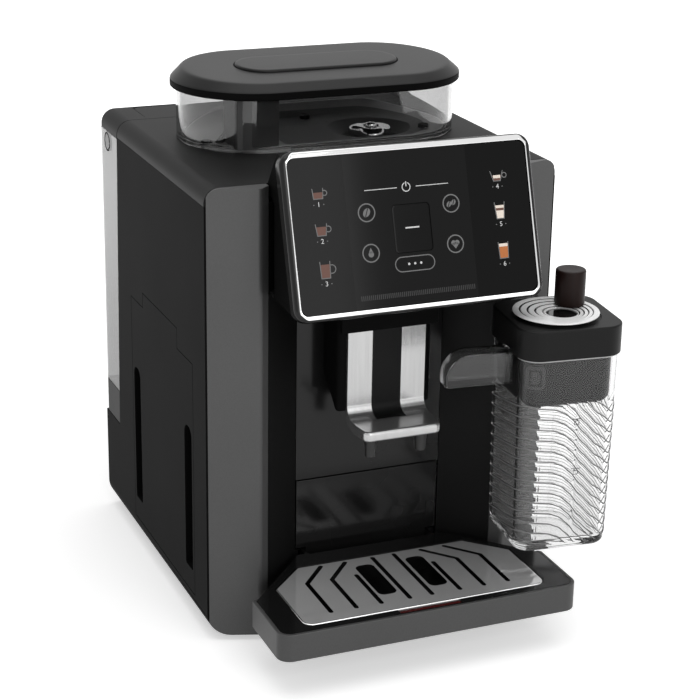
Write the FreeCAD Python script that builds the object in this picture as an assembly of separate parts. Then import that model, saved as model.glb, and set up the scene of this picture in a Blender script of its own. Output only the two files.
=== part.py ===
import FreeCAD
import Part
import math
import os

# Bean-to-cup coffee machine with a docked milk jug, in millimetres.
# Pieces are drawn with X across from the machine's centre plane, Y back from the front ends of the
# side panels and Z up from the counter. save() then moves them all alike, so that the origin is the
# middle of the bottom of the whole object's box.

Vector = FreeCAD.Vector

# Body
body_width = 240.0
body_depth = 235.0
body_top = 306.0
foot_height = 4.0
foot_radius = 11.0
foot_inset_x = 32.0
foot_inset_y = 18.0
wall = 2.5
pan_thickness = 3.0
seam = 0.4
top_round = 10.0
top_skirt = 12.0
bottom_round = 15.0
bulkhead_thickness = 3.0
bulkhead_x = -1.0
bulkhead_gap = 2.0
pan_front = 2.0
past = 1.0

# Front columns and the cup bay between them
column_width = 33.0
column_reach = 11.4
column_edge_round = 4.0
column_return = 9.0
bay_back_width = 104.0
bay_depth = 19.0
bay_below_top = 70.0

# Control panel, leaning back
panel_lean = 18.0
panel_reach = 45.4
panel_below_top = 22.5
glass_width = 158.4
glass_height = 94.6
glass_thickness = 3.0
glass_round = 6.0
bezel_width = 4.0
bezel_depth = 8.0
bezel_proud = 1.0
bezel_ledge = 9.0
glass_gap = 0.2
bezel_round = 9.0
housing_inset = 1.5
housing_top = 6.0
housing_step = 8.0
board_thickness = 1.6
board_chip = 14.0
board_plug = 30.0
board_plug_depth = 9.0
switch_size = 6.0
button_width = 24.6
button_height = 29.0
button_x = -1.8
button_v = -0.6
button_gap = 0.3
button_round = 2.5
button_stem = 4.0
button_stem_length = 2.0
button_travel = 1.2

# Bean hopper and its lid
hopper_from_back = 115.0
bowl_half_length = 96.5
bowl_radius = 51.0
bowl_height = 37.5
bowl_wall = 2.5
floor_depth = 8.0
floor_rise = 2.0
floor_plate = 3.0
lid_half_length = 100.5
lid_radius = 54.0
lid_height = 12.0
lid_lean = 3.0
lid_overlap = 2.5
lid_gap = 0.6
lid_edge = 5.0
lid_pad_half_length = 57.0
lid_pad_radius = 19.0
lid_pad_height = 1.5
lid_pad_edge = 0.8
divider_x = -47.0
divider_below_rim = 9.0
lid_roof = 4.0
lid_lip = 2.0

# Grinder under the hopper
grinder_x = 36.0
grinder_ahead = 10.0
grinder_radius = 34.0
grinder_bore = 29.0
grinder_height = 66.0
grinder_floor = 4.0
outlet_width = 14.0
outlet_height = 12.0
pad_width = 28.0
pad_height = 22.0
shaft_depth = 42.0
burr_above_floor = 24.0
burr_eye = 14.0
burr_cone = 11.0
burr_arm = 6.0
burr_radius = 28.0
lower_burr_radius = 26.0
burr_thickness = 9.0
burr_gap = 1.0
burr_shaft_radius = 4.0
running_gap = 0.05
motor_radius = 30.0
motor_height = 62.0
dial_radius = 16.0
dial_stem_radius = 5.0
dial_thickness = 3.0
dial_wing = 5.0
dial_wing_height = 7.0
throat_radius = 20.0

# Brew unit behind the service door
brew_x = -55.0
brew_behind_bay = 56.0
brew_block = 64.0
brew_bottom = 140.0
brew_height = 86.0
brew_bore = 24.0
brew_floor = 6.0
piston_height = 26.0
piston_sleeve = 34.0
piston_sleeve_radius = 9.0
screw_radius = 5.0
brew_motor_radius = 20.0
brew_motor_height = 34.0
brew_motor_gap = 6.0
brew_motor_arm = 20.0
brew_arm = 30.0
brew_outlet = 3.0
piston_floor = 4.0

# Heater, pump and hoses
heater_width = 55.0
heater_depth = 42.0
heater_height = 88.0
heater_x = 45.0
heater_gap = 8.0
heater_grooves = 5
heater_groove = 4.0
pump_x = 84.0
pump_z = 32.0
pump_radius = 14.0
pump_length = 60.0
pump_coil_radius = 21.0
pump_coil_length = 30.0
pump_plunger_radius = 5.0
pump_plunger_length = 26.0
pump_stroke = 4.0
pump_ahead = 20.0
pump_foot = 12.0
hose_radius = 3.5
hose_bend = 18.0
hose_bend_share = 0.45

# Coffee spout
spout_half_width = 27.0
spout_face = -8.0
spout_lip = -38.0
spout_bottom = 141.0
spout_lip_height = 6.5
spout_lip_round = 2.0
spout_bend = 14.0
spout_plate = 2.5
carriage_half_width = 33.0
carriage_above_bay = 22.0
carriage_gap = 2.0
carriage_round = 6.0
strip_half_width = 10.0
strip_bottom = 151.0
strip_round = 8.0
strip_gap = 0.3
nozzle_pitch = 35.0
nozzle_y = -25.0
nozzle_radius = 4.0
nozzle_bore = 2.5
nozzle_length = 14.5
tail_half_width = 10.0
tail_reach = 6.0
tail_height = 30.0
tail_below_bay = 10.0
spout_up = 36.0
spout_down = 15.0

# Drip tray, its grey band, grid, float and the grounds container
tray_overhang = 16.3
tray_reach = 92.0
tray_top = 45.5
tray_bottom = 27.0
tray_side_end = 40.0
tray_corner = 9.0
tray_clear = 2.0
tray_floor = 3.0
band = 2.5
band_end = 2.0
grid_front_rim = 9.0
grid_side_rim = 19.3
grid_back = -6.0
grid_chamfer = 24.0
grid_round = 7.0
grid_thickness = 1.5
grid_gap = 0.5
grid_ledge = 3.0
slot_width = 3.1
slot_rows = 3.6
slot_inner = 0.45
slot_edge = 22.0
slot_front_edge = 12.0
slot_back_edge = 4.0
slot_bend = 20.0
hole_width = 13.0
hole_front_edge = 21.5
hole_back_edge = 11.5
hole_share = 0.75
hole_place = 1.04
float_half_length = 21.0
float_depth = 3.2
float_gap = 0.7
drawer_beside_bay = 5.0
drawer_length = 104.0
drawer_bottom = 20.0
drawer_wall = 2.5
drawer_floor = 2.0
drawer_overlap = 11.0
rail_width = 7.0
rail_guide = 4.0
rail_gap = 1.0
grounds_front = 50.0
grounds_gap = 0.4
grounds_wall = 2.0

# Service door on the left side
door_front = 26.0
door_from_tank = 38.0
door_bottom = 21.0
door_top = 187.5
door_front_top = 184.0
door_tab_top = 198.0
door_tab_front = 58.5
door_tab_depth = 76.5
door_thickness = 3.5
door_gap = 0.5
grip_width = 15.0
grip_height = 101.0
grip_bottom = 37.0
grip_inset = 3.5
grip_depth = 9.0
grip_wall = 2.0
grip_foot_round = 2.0
grip_head_round = 6.5

# Water tank at the back
tank_depth_top = 45.6
tank_depth_low = 34.0
tank_floor = 77.0
tank_base_height = 26.0
tank_cover_height = 18.0
tank_wall = 2.5
tank_edge = 5.0
tank_side_gap = 0.2
tank_sole = 4.0
tank_cover_round = 7.0
tank_cover_wall = 8.0
flap_half_width = 98.0
flap_front = 4.5
flap_back = 6.5
flap_thickness = 3.0
flap_sunk = 0.2
flap_ledge = 2.5
flap_notch = 36.0
flap_round = 8.0
flap_corner_play = 4.5
flap_pin_radius = 1.1
flap_pin_length = 3.0
seat_radius = 12.0
seat_height = 6.0

# Milk jug, turned a little on the machine's front right
jug_turn = -6.0
jug_beside_bay = 12.5
jug_forward = 49.5
jug_bottom = 66.0
jug_width = 67.0
jug_depth = 65.0
jug_draft = 2.0
jug_round = 13.0
jug_wall = 2.6
jug_base = 6.0
jug_foot_round = 4.0
jug_height = 132.5
jug_lid_lap = 1.5
jug_lid_height = 19.5
jug_lid_round = 14.0
jug_lid_edge = 1.2
insert_depth = 34.0
insert_wall = 2.5
insert_gap = 0.5
insert_roof = 6.0
froth_dial_radius = 28.5
froth_dial_x = -2.0
froth_dial_y = -2.5
froth_dial_height = 3.0
froth_dial_sunk = 1.2
froth_dial_gap = 0.1
froth_well_depth = 2.2
froth_ring_pitch = 4.0
froth_ring_width = 0.9
froth_ring_depth = 0.5
froth_well_radius = 12.0
handle_radius = 9.8
handle_height = 24.0
handle_reach = 18.0
handle_angle = 34.0
milk_spout_reach = 43.0
milk_spout_height = 22.0
milk_spout_width = 14.0
milk_spout_wall = 2.0
milk_spout_lap = 2.0
milk_spout_y = -8.0
milk_tube_radius = 3.5
milk_tube_bore = 2.3
milk_tube_x = 8.0
milk_tube_y = 10.0
milk_tube_gap = 4.0
tube_gap = 0.2
port_radius = 8.0
port_nozzle = 4.0
port_nozzle_length = 10.0
port_length = 26.0
port_gap = 0.3
clip_radius = 6.0
clip_inset = 20.0

# Power inlet and screws at the back
inlet_x = 70.0
inlet_z = 30.0
inlet_width = 27.0
inlet_height = 19.0
inlet_depth = 18.0
inlet_flange = 3.0
blade = 4.0
blade_pitch = 7.0
screw_head_radius = 3.3
screw_head_height = 1.6
screw_shank_radius = 1.5
screw_shank_length = 8.0
screw_gap = 0.2
screw_inset = 11.0
screw_cross = 4.0
screw_cross_width = 0.8
screw_cross_depth = 0.8
vent_count = 9
vent_pitch = 9.0
vent_width = 3.5
vent_height = 30.0
vent_inset = 30.0
vent_below_shelf = 14.0

# Values that follow from the sizes above
half_width = body_width / 2
bay_mouth = half_width - column_width
bay_back = bay_back_width / 2
bay_top = body_top - bay_below_top
pan_top = foot_height + pan_thickness
panel_z = body_top - panel_below_top
hopper_y = body_depth - hopper_from_back
bowl_top = body_top + bowl_height
lid_bottom = bowl_top - lid_overlap
lid_top = lid_bottom + lid_height
grinder_y = hopper_y - grinder_ahead
floor_bottom = body_top - floor_depth
grinder_bottom = floor_bottom - grinder_height
brew_y = bay_depth + brew_behind_bay
brew_top = brew_bottom + brew_height
tank_front_top = body_depth - tank_depth_top
tank_front_low = body_depth - tank_depth_low
tray_half = bay_mouth + tray_overhang
grid_half = tray_half - grid_side_rim
grid_front = -tray_reach + grid_front_rim
drawer_half_width = bay_back - drawer_beside_bay
drawer_start = bay_depth - drawer_overlap
drawer_back = drawer_start + drawer_length
jug_x = bay_mouth + jug_beside_bay
jug_y = -jug_forward
jug_top = jug_bottom + jug_height
jug_lid_top = jug_top + jug_lid_height
jug_lid_width = jug_width + 2 * jug_lid_lap
jug_lid_depth = jug_depth + 2 * jug_lid_lap


def wall_direction():
    """Unit vector along the left bay wall in plan, from the column's edge to the bay's back."""
    run = Vector(bay_mouth - bay_back, column_reach + bay_depth, 0)
    return run.normalize()


def rotated_reach(width, depth, radius, turn):
    """Half the box of a rounded rectangle that is turned about Z, along X and along Y."""
    along = width / 2 - radius
    across = depth / 2 - radius
    cosine = abs(math.cos(math.radians(turn)))
    sine = abs(math.sin(math.radians(turn)))
    return along * cosine + across * sine + radius, along * sine + across * cosine + radius


jug_reach_x = rotated_reach(jug_lid_width, jug_lid_depth, jug_lid_round, jug_turn)[0]
right_end = max(half_width, jug_x + jug_reach_x)
shift = Vector((half_width - right_end) / 2, (tray_reach - body_depth) / 2, 0)


def box(x0, x1, y0, y1, z0, z1):
    """Block between two corners."""
    return Part.makeBox(x1 - x0, y1 - y0, z1 - z0, Vector(x0, y0, z0))


def rod(x, y, z0, z1, radius):
    """Upright cylinder."""
    return Part.makeCylinder(radius, z1 - z0, Vector(x, y, z0))


def bar(start, end, radius):
    """Cylinder between two points."""
    return Part.makeCylinder(radius, (end - start).Length, start, end - start)


def rounded_corner(before, here, after):
    """Start, middle and end of the arc that rounds one corner of a flat outline."""
    a = Vector(before[0] - here[0], before[1] - here[1], 0).normalize()
    b = Vector(after[0] - here[0], after[1] - here[1], 0).normalize()
    tip = Vector(here[0], here[1], 0)
    half = a.getAngle(b) / 2
    reach = here[2] / math.tan(half)
    middle = tip + (a + b).normalize() * (here[2] / math.sin(half) - here[2])
    return tip + a * reach, middle, tip + b * reach


def outline(corners, place):
    """Face inside flat corners (a, b, radius). place turns (a, b) into a point in space."""
    full = [corner if len(corner) == 3 else (corner[0], corner[1], 0.0) for corner in corners]
    count = len(full)
    arcs = []
    for i in range(count):
        here = full[i]
        if here[2] > 0:
            arcs.append(rounded_corner(full[i - 1], here, full[(i + 1) % count]))
        else:
            arcs.append((Vector(here[0], here[1], 0),))
    edges = []
    for i in range(count):
        arc = [place(p.x, p.y) for p in arcs[i]]
        following = place(arcs[(i + 1) % count][0].x, arcs[(i + 1) % count][0].y)
        if len(arc) == 3:
            edges.append(Part.Arc(arc[0], arc[1], arc[2]).toShape())
        if arc[-1].distanceToPoint(following) > 1e-6:
            edges.append(Part.LineSegment(arc[-1], following).toShape())
    return Part.Face(Part.Wire(edges))


def slab(corners, low, high):
    """Outline in plan, raised from one height to another."""
    return outline(corners, lambda a, b: Vector(a, b, low)).extrude(Vector(0, 0, high - low))


def side_slab(corners, low, high):
    """Outline of Y and Z, carried across from one X to another."""
    return outline(corners, lambda a, b: Vector(low, a, b)).extrude(Vector(high - low, 0, 0))


def front_slab(corners, low, high):
    """Outline of X and Z, carried back from one Y to another."""
    return outline(corners, lambda a, b: Vector(a, low, b)).extrude(Vector(0, high - low, 0))


def rectangle(width, depth, radius, x=0.0, y=0.0):
    """Corners of a rounded rectangle about a point."""
    half = width / 2
    deep = depth / 2
    return [(x - half, y - deep, radius), (x + half, y - deep, radius),
            (x + half, y + deep, radius), (x - half, y + deep, radius)]


def obround(half_length, radius, low, high, x=0.0, y=0.0):
    """Long shape with round ends, raised from one height to another."""
    return slab(rectangle(half_length * 2, radius * 2, radius, x, y), low, high)


def mirrored(shape):
    """The same piece on the other side of the centre plane."""
    return shape.mirror(Vector(0, 0, 0), Vector(1, 0, 0))


def fused(shapes):
    """One solid from several that meet."""
    result = shapes[0]
    for shape in shapes[1:]:
        result = result.fuse(shape)
    return result.removeSplitter()


def cut_all(shape, tools):
    """A shape with every tool cut away."""
    result = shape
    for tool in tools:
        result = result.cut(tool)
    return result


def on_panel(shape):
    """From the panel's own frame (X across, Y up its face, Z out of it) to the machine's."""
    shape.rotate(Vector(0, 0, 0), Vector(1, 0, 0), 90 - panel_lean)
    shape.translate(Vector(0, -panel_reach, panel_z))
    return shape


def at_jug(shape):
    """From the jug's own frame, unturned about its middle, to the machine's."""
    shape.rotate(Vector(0, 0, 0), Vector(0, 0, 1), jug_turn)
    shape.translate(Vector(jug_x, jug_y, 0))
    return shape


def body_section(inset, y0, y1):
    """The body's rounded front outline, inset all round, carried from one Y to another."""
    side = half_width - inset
    low = foot_height + inset
    high = body_top - inset
    corners = [(-side, low, bottom_round - inset), (side, low, bottom_round - inset),
               (side, high, top_round - inset), (-side, high, top_round - inset)]
    return front_slab(corners, y0, y1)


def body_shell(y0, y1):
    """The body's rounded skin between two Y."""
    return body_section(0, y0, y1).cut(body_section(wall, y0 - past, y1 + past))


def tank_front(z):
    """Y of the tank's leaning front at one height."""
    share = (z - tank_floor) / (body_top - tank_floor)
    return tank_front_low + (tank_front_top - tank_front_low) * share


def tank_side(z0, z1, back_inset=0.0, front_inset=0.0):
    """Corners in Y and Z of the tank between two heights."""
    back = body_depth - back_inset
    return [(tank_front(z0) + front_inset, z0), (tank_front(z1) + front_inset, z1), (back, z1), (back, z0)]


def base_frame():
    """Floor pan with the two rails that the tray's drawer runs in and a low front wall."""
    side = half_width - bottom_round - seam
    front = -column_reach / 2
    back = body_depth - wall - seam
    tongue = bay_mouth - 2 * column_return * wall_direction().x
    plan = [(-side, pan_front), (-tongue, pan_front), (-tongue, front), (tongue, front), (tongue, pan_front),
            (side, pan_front), (side, back), (-side, back)]
    pan = slab(plan, foot_height, pan_top)
    front_wall = box(-tongue, tongue, front, front + wall, pan_top, drawer_bottom - 2 * rail_gap)
    outer = drawer_half_width + rail_gap + rail_guide
    y0 = bay_depth + wall + 2 * rail_gap
    y1 = drawer_back + rail_guide
    tread = box(drawer_half_width - rail_width, outer, y0, y1, pan_top, drawer_bottom - seam)
    guide = box(drawer_half_width + rail_gap, outer, y0, y1, pan_top, tray_top - 2 * rail_gap)
    rail = fused([tread, guide])
    return fused([pan, front_wall, rail, mirrored(rail)])


def rubber_feet():
    """Four round feet under the pan."""
    places = []
    for x in (-half_width + foot_inset_x, half_width - foot_inset_x):
        for y in (foot_inset_y, body_depth - foot_inset_y):
            places.append(rod(x, y, 0, foot_height, foot_radius))
    return Part.makeCompound(places)


def tank_room():
    """The space behind the side panels that the tank stands in."""
    corners = tank_side(tank_floor, body_top, -past, -seam)
    return side_slab(corners, -half_width - past, half_width + past)


def side_panel():
    """Left side skin with its rounded lower edge, open at the back for the tank."""
    skin = body_shell(0, body_depth - wall - seam)
    top = body_top - top_skirt
    keep = box(-half_width - past, -half_width + bottom_round, -past, body_depth, foot_height - past, top)
    return skin.common(keep).cut(tank_room())


def door_outline(grow):
    """Corners in Y and Z of the stepped service door, grown all round."""
    back = tank_front_low - door_from_tank + grow
    tab_back = door_tab_front + door_tab_depth + grow
    return [(door_front - grow, door_bottom - grow), (back, door_bottom - grow), (back, door_top + grow),
            (tab_back, door_top + grow), (tab_back, door_tab_top + grow),
            (door_tab_front - grow, door_tab_top + grow), (door_tab_front - grow, door_front_top + grow),
            (door_front - grow, door_front_top + grow)]


def left_side_panel():
    """Left side skin with the doorway."""
    return side_panel().cut(side_slab(door_outline(door_gap), -half_width - past, -half_width + wall + past))


def right_side_panel():
    """Right side skin."""
    return mirrored(side_panel())


def grip_outline(y, grow):
    """Corners in Y and Z of one finger grip with a round top."""
    top = grip_bottom + grip_height + grow
    side = grip_width / 2 + grow
    low = grip_bottom - grow
    foot = grip_foot_round + grow
    head = grip_head_round + grow
    return [(y - side, low, foot), (y + side, low, foot), (y + side, top, head), (y - side, top, head)]


def service_door():
    """Stepped cover with a finger grip sunk near each upright edge."""
    outer = -half_width
    front_grip = door_front + grip_inset + grip_width / 2
    back_grip = tank_front_low - door_from_tank - grip_inset - grip_width / 2
    plate = side_slab(door_outline(0), outer, outer + door_thickness)
    cups = []
    pockets = []
    for y in (front_grip, back_grip):
        cups.append(side_slab(grip_outline(y, grip_wall), outer, outer + grip_depth + grip_wall))
        pockets.append(side_slab(grip_outline(y, 0.0), outer - past, outer + grip_depth))
    return cut_all(fused([plate] + cups), pockets)


def left_fascia():
    """Grey front column: a leaning face, a rounded inner edge and a short return into the bay."""
    along = wall_direction()
    start = Vector(-half_width, 0, 0)
    edge = Vector(-bay_mouth, -column_reach, 0)
    end = edge + along * column_return
    face_in = Vector(column_reach, column_width, 0).normalize()
    return_in = Vector(-along.y, along.x, 0)
    inner_edge = edge + (face_in + return_in) * (wall / (1 + face_in.dot(return_in)))
    inner_start = start + face_in * wall
    inner_end = inner_edge + along * (2 * column_return)
    plan = [(start.x, start.y), (edge.x, edge.y, column_edge_round), (end.x, end.y), (end.x, 0)]
    hollow = [(inner_start.x, inner_start.y), (inner_edge.x, inner_edge.y, column_edge_round - wall),
              (inner_end.x, inner_end.y), (inner_end.x, column_width), (inner_start.x, column_width)]
    column = slab(plan, 0, body_top).cut(slab(hollow, -past, body_top - wall))
    return column.common(body_section(0, -column_reach - past, -seam))


def right_fascia():
    """Grey front column on the right, with the hole for the steam port."""
    return mirrored(left_fascia()).cut(at_jug(steam_port_boss(port_gap)))


def top_cover():
    """Top skin with rounded side edges and the hopper's opening."""
    skin = body_shell(seam, tank_front_top - seam)
    low = body_top - top_skirt + seam
    keep = box(-half_width - past, half_width + past, 0, body_depth, low, body_top + past)
    hole = obround(bowl_half_length - bowl_wall, bowl_radius - bowl_wall, low, body_top + past, 0, hopper_y)
    return skin.common(keep).cut(hole)


def bay_side_walls():
    """The two slanting walls of the cup bay."""
    along = wall_direction()
    out = Vector(-along.y, along.x, 0) * wall
    start = Vector(-bay_mouth, -column_reach, 0) + along * (column_return / 2)
    end = Vector(-bay_back, bay_depth, 0)
    front_x = -bay_mouth + along.x * column_return + seam
    plan = [(start.x, start.y), (end.x, end.y), (end.x + out.x, end.y + out.y),
            (start.x + out.x, start.y + out.y)]
    left = slab(plan, pan_top, body_top - top_skirt)
    left = left.common(box(front_x, 0, -column_reach, body_depth, 0, body_top))
    return Part.makeCompound([left, mirrored(left)])


def bay_back_wall():
    """Upper back wall of the bay, with the upright slot that the spout's tail runs in."""
    side = bay_back - seam
    low = tray_top + grounds_front + rail_gap
    plate = box(-side, side, bay_depth, bay_depth + wall, low, body_top - top_skirt)
    tail = carriage_tail_span()
    half = tail_half_width + strip_gap
    slot = box(-half, half, bay_depth - past, bay_depth + wall + past, tail[0] - spout_down - carriage_gap,
               tail[1] + spout_up + carriage_gap)
    return plate.cut(slot)


def bay_ceiling():
    """Roof of the bay on both sides of the spout's slot."""
    along = wall_direction()
    slope = along.y / along.x
    inner = carriage_half_width + carriage_gap
    outer = glass_width / 2
    front = -column_reach - seam
    back = bay_depth - seam
    rear_x = bay_back - rail_gap
    front_y = bay_depth - (outer - bay_back) * slope - rail_gap
    plan = [(-outer, front), (-inner, front), (-inner, back), (-rear_x, back), (-outer, front_y)]
    left = slab(plan, bay_top, bay_top + wall)
    return Part.makeCompound([left, mirrored(left)])


def inner_frame():
    """Upright bulkhead that the grinder and the brew unit are fixed to."""
    front = bay_depth + wall + tail_reach + bulkhead_gap
    back = tank_front_top - wall - bulkhead_gap
    foot = drawer_back + rail_guide + bulkhead_gap
    arch = tray_top + grounds_front + 4 * bulkhead_gap
    top = floor_bottom - bulkhead_gap
    corners = [(front, arch), (foot, arch), (foot, pan_top), (back, pan_top), (back, top), (front, top)]
    plate = side_slab(corners, bulkhead_x, bulkhead_x + bulkhead_thickness)
    return plate.cut(grounds_outlet())


def vent_slots(y0, y1):
    """Row of upright cooling slots left of the back's middle."""
    slots = []
    for i in range(vent_count):
        x = -half_width + vent_inset + i * vent_pitch
        top = tank_floor - vent_below_shelf
        slots.append(box(x, x + vent_width, y0, y1, top - vent_height, top))
    return slots


def case_screw_places():
    """X and Z of the screws in the back."""
    side = half_width - bottom_round
    low = foot_height + screw_inset
    high = tank_floor - screw_inset
    return [(-side, low), (side, low), (-side, high), (side, high)]


def rear_cover():
    """Lower back, the shelf that the tank stands on and the leaning wall in front of the tank."""
    inner = half_width - wall - seam
    lower = body_section(0, body_depth - wall, body_depth)
    lower = lower.common(box(-half_width, half_width, 0, body_depth, 0, tank_floor))
    shelf_front = tank_front_low - seam - wall
    shelf = box(-inner, inner, shelf_front, body_depth - wall, tank_floor - wall, tank_floor)
    wall_top = body_top - wall - seam
    front_low = tank_front(tank_floor) - seam
    front_top = tank_front(wall_top) - seam
    lean = [(front_low - wall, tank_floor - wall), (front_low, tank_floor - wall), (front_low, tank_floor),
            (front_top, wall_top), (front_top - wall, wall_top), (front_low - wall, tank_floor)]
    seat = rod(0, tank_seat_y(), tank_floor, tank_floor + seat_height, seat_radius)
    leaning = side_slab(lean, -inner, inner).common(body_section(wall + seam, 0, body_depth))
    cover = fused([lower, shelf, leaning, seat])
    opening = front_slab(rectangle(inlet_width, inlet_height, 0, inlet_x, inlet_z), body_depth - wall - past,
                         body_depth + past)
    drain = rod(0, tank_seat_y(), tank_floor - wall - past, tank_floor + seat_height + past, hose_radius)
    tools = [opening, drain]
    tools += vent_slots(body_depth - wall - past, body_depth + past)
    for x, z in case_screw_places():
        shank = Vector(x, body_depth - wall - past, z)
        head = Vector(x, body_depth - screw_head_height, z)
        tools.append(bar(shank, Vector(x, body_depth + past, z), screw_shank_radius + screw_gap))
        tools.append(bar(head, Vector(x, body_depth + past, z), screw_head_radius + screw_gap))
    return cut_all(cover, tools)


def tank_seat_y():
    """Y of the tank's outlet."""
    return body_depth - tank_depth_low / 2


def power_inlet():
    """Recessed mains inlet with three blades, behind the lower back."""
    half = inlet_width / 2 + inlet_flange
    tall = inlet_height / 2 + inlet_flange
    back = body_depth - wall
    front = back - inlet_depth - inlet_flange
    block = box(inlet_x - half, inlet_x + half, front, back, inlet_z - tall, inlet_z + tall)
    room = rectangle(inlet_width - wall, inlet_height - wall, inlet_flange, inlet_x, inlet_z)
    block = block.cut(front_slab(room, front + inlet_flange, back + past))
    for x, z in ((-blade_pitch, -blade / 2), (0, blade / 2), (blade_pitch, -blade / 2)):
        middle = inlet_z + z
        pin = box(inlet_x + x - blade / 4, inlet_x + x + blade / 4, front + past, back - inlet_flange,
                  middle - blade / 2, middle + blade / 2)
        block = block.fuse(pin)
    return block


def case_screws():
    """Screws that hold the rear cover."""
    screws = []
    for x, z in case_screw_places():
        head_front = Vector(x, body_depth - screw_head_height, z)
        head = bar(head_front, Vector(x, body_depth - screw_gap, z), screw_head_radius)
        shank = bar(Vector(x, body_depth - screw_shank_length, z), head_front, screw_shank_radius)
        long = screw_cross / 2
        thin = screw_cross_width / 2
        floor = body_depth - screw_gap - screw_cross_depth
        cross = box(x - long, x + long, floor, body_depth, z - thin, z + thin)
        upright = box(x - thin, x + thin, floor, body_depth, z - long, z + long)
        screws.append(cut_all(head.fuse(shank), [cross, upright]))
    return Part.makeCompound(screws)


def panel_point(v, w):
    """Y and Z of a point up the panel's face and out of it, on the centre plane."""
    lean = math.radians(panel_lean)
    y = -panel_reach + v * math.sin(lean) - w * math.cos(lean)
    return y, panel_z + v * math.cos(lean) + w * math.sin(lean)


def panel_housing():
    """Hollow wedge that carries the panel in front of the body."""
    edge = glass_height / 2 + bezel_width - housing_inset
    low = panel_point(-edge, -bezel_depth)
    high = panel_point(edge, -bezel_depth)
    rear = -column_reach - 2 * seam
    corners = [low, high, (high[0] + housing_top, high[1]), (-seam, body_top + seam),
               (-seam, body_top - wall), (rear, body_top - wall - housing_step), (rear, bay_top)]
    side = glass_width / 2 - glass_gap
    wedge = side_slab(corners, -side, side)
    face = outline(corners, lambda a, b: Vector(-side + wall, a, b))
    hollow = face.makeOffset2D(-wall).extrude(Vector(2 * (side - wall), 0, 0))
    mouth = slab(rectangle(glass_width - 4 * wall, glass_height - 2 * wall, wall),
                 -bezel_depth - housing_step, -bezel_depth + past)
    return cut_all(wedge, [hollow, on_panel(mouth)])


def panel_bezel():
    """Chrome frame with a pocket for the glass."""
    width = glass_width + 2 * bezel_width
    height = glass_height + 2 * bezel_width
    frame = slab(rectangle(width, height, bezel_round), -bezel_depth, bezel_proud)
    pocket = slab(rectangle(glass_width, glass_height, glass_round), -glass_thickness, bezel_proud + past)
    ledge = bezel_ledge * 2
    window = slab(rectangle(glass_width - ledge, glass_height - ledge, wall), -bezel_depth - past, past)
    return on_panel(cut_all(frame, [pocket, window]))


def button_corners(grow):
    """Corners of the start button, grown all round."""
    return rectangle(button_width + 2 * grow, button_height + 2 * grow, button_round, button_x, button_v)


def panel_glass():
    """Dark glass with the hole for the start button."""
    width = glass_width - 2 * glass_gap
    plate = slab(rectangle(width, glass_height - 2 * glass_gap, glass_round), -glass_thickness, 0)
    return on_panel(plate.cut(slab(button_corners(button_gap), -glass_thickness - past, past)))


def start_stop_button():
    """Oblong key in the glass, with a stem for its switch."""
    key = slab(button_corners(0), -glass_thickness, -button_gap)
    stem = slab(rectangle(button_stem, button_stem, 0, button_x, button_v),
                -glass_thickness - button_stem_length, -glass_thickness)
    return on_panel(fused([key, stem]))


def control_board():
    """Circuit board behind the bezel, with the start button's switch."""
    width = glass_width - bezel_ledge - wall
    height = glass_height - bezel_ledge - wall
    back = -bezel_depth - board_thickness
    board = slab(rectangle(width, height, wall), back, -bezel_depth)
    switch_top = -glass_thickness - button_stem_length - button_travel - seam
    switch = slab(rectangle(switch_size, switch_size, 0, button_x, button_v), -bezel_depth, switch_top)
    chip = slab(rectangle(board_chip, board_chip, 0, width / 4, 0), back - board_thickness, back)
    plug = slab(rectangle(board_plug, board_plug_depth, 0, -width / 4, -height / 4),
                back - board_plug_depth, back)
    return on_panel(fused([board, switch, chip, plug]))


def hopper_bowl():
    """Clear oblong wall of the bean hopper with a cross wall."""
    outer = obround(bowl_half_length, bowl_radius, body_top, bowl_top, 0, hopper_y)
    inner_half = bowl_half_length - bowl_wall
    inner_radius = bowl_radius - bowl_wall
    inner = obround(inner_half, inner_radius, body_top - past, bowl_top + past, 0, hopper_y)
    floor = body_top + floor_rise + seam
    divider = box(divider_x - bowl_wall / 2, divider_x + bowl_wall / 2, hopper_y - bowl_radius,
                  hopper_y + bowl_radius, floor, bowl_top - divider_below_rim)
    return outer.cut(inner).fuse(divider.common(outer)).removeSplitter()


def hopper_floor():
    """Dark floor of the hopper with a funnel down to the grinder."""
    half = bowl_half_length - bowl_wall - seam
    radius = bowl_radius - bowl_wall - seam
    top = body_top + floor_rise
    plate = obround(half, radius, floor_bottom, top, 0, hopper_y)
    rim = min(radius - grinder_ahead, half - grinder_x) - wall
    low = floor_bottom + floor_plate
    funnel = Part.makeCone(throat_radius, rim, top - low, Vector(grinder_x, grinder_y, low))
    throat = rod(grinder_x, grinder_y, floor_bottom - past, top, throat_radius)
    return cut_all(plate, [funnel, throat])


def on_lid(shape):
    """A shape made about the origin, set on the sloping top of the hopper's lid."""
    shape.rotate(Vector(0, 0, 0), Vector(1, 0, 0), lid_lean)
    shape.translate(Vector(0, hopper_y, lid_top))
    return shape


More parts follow.
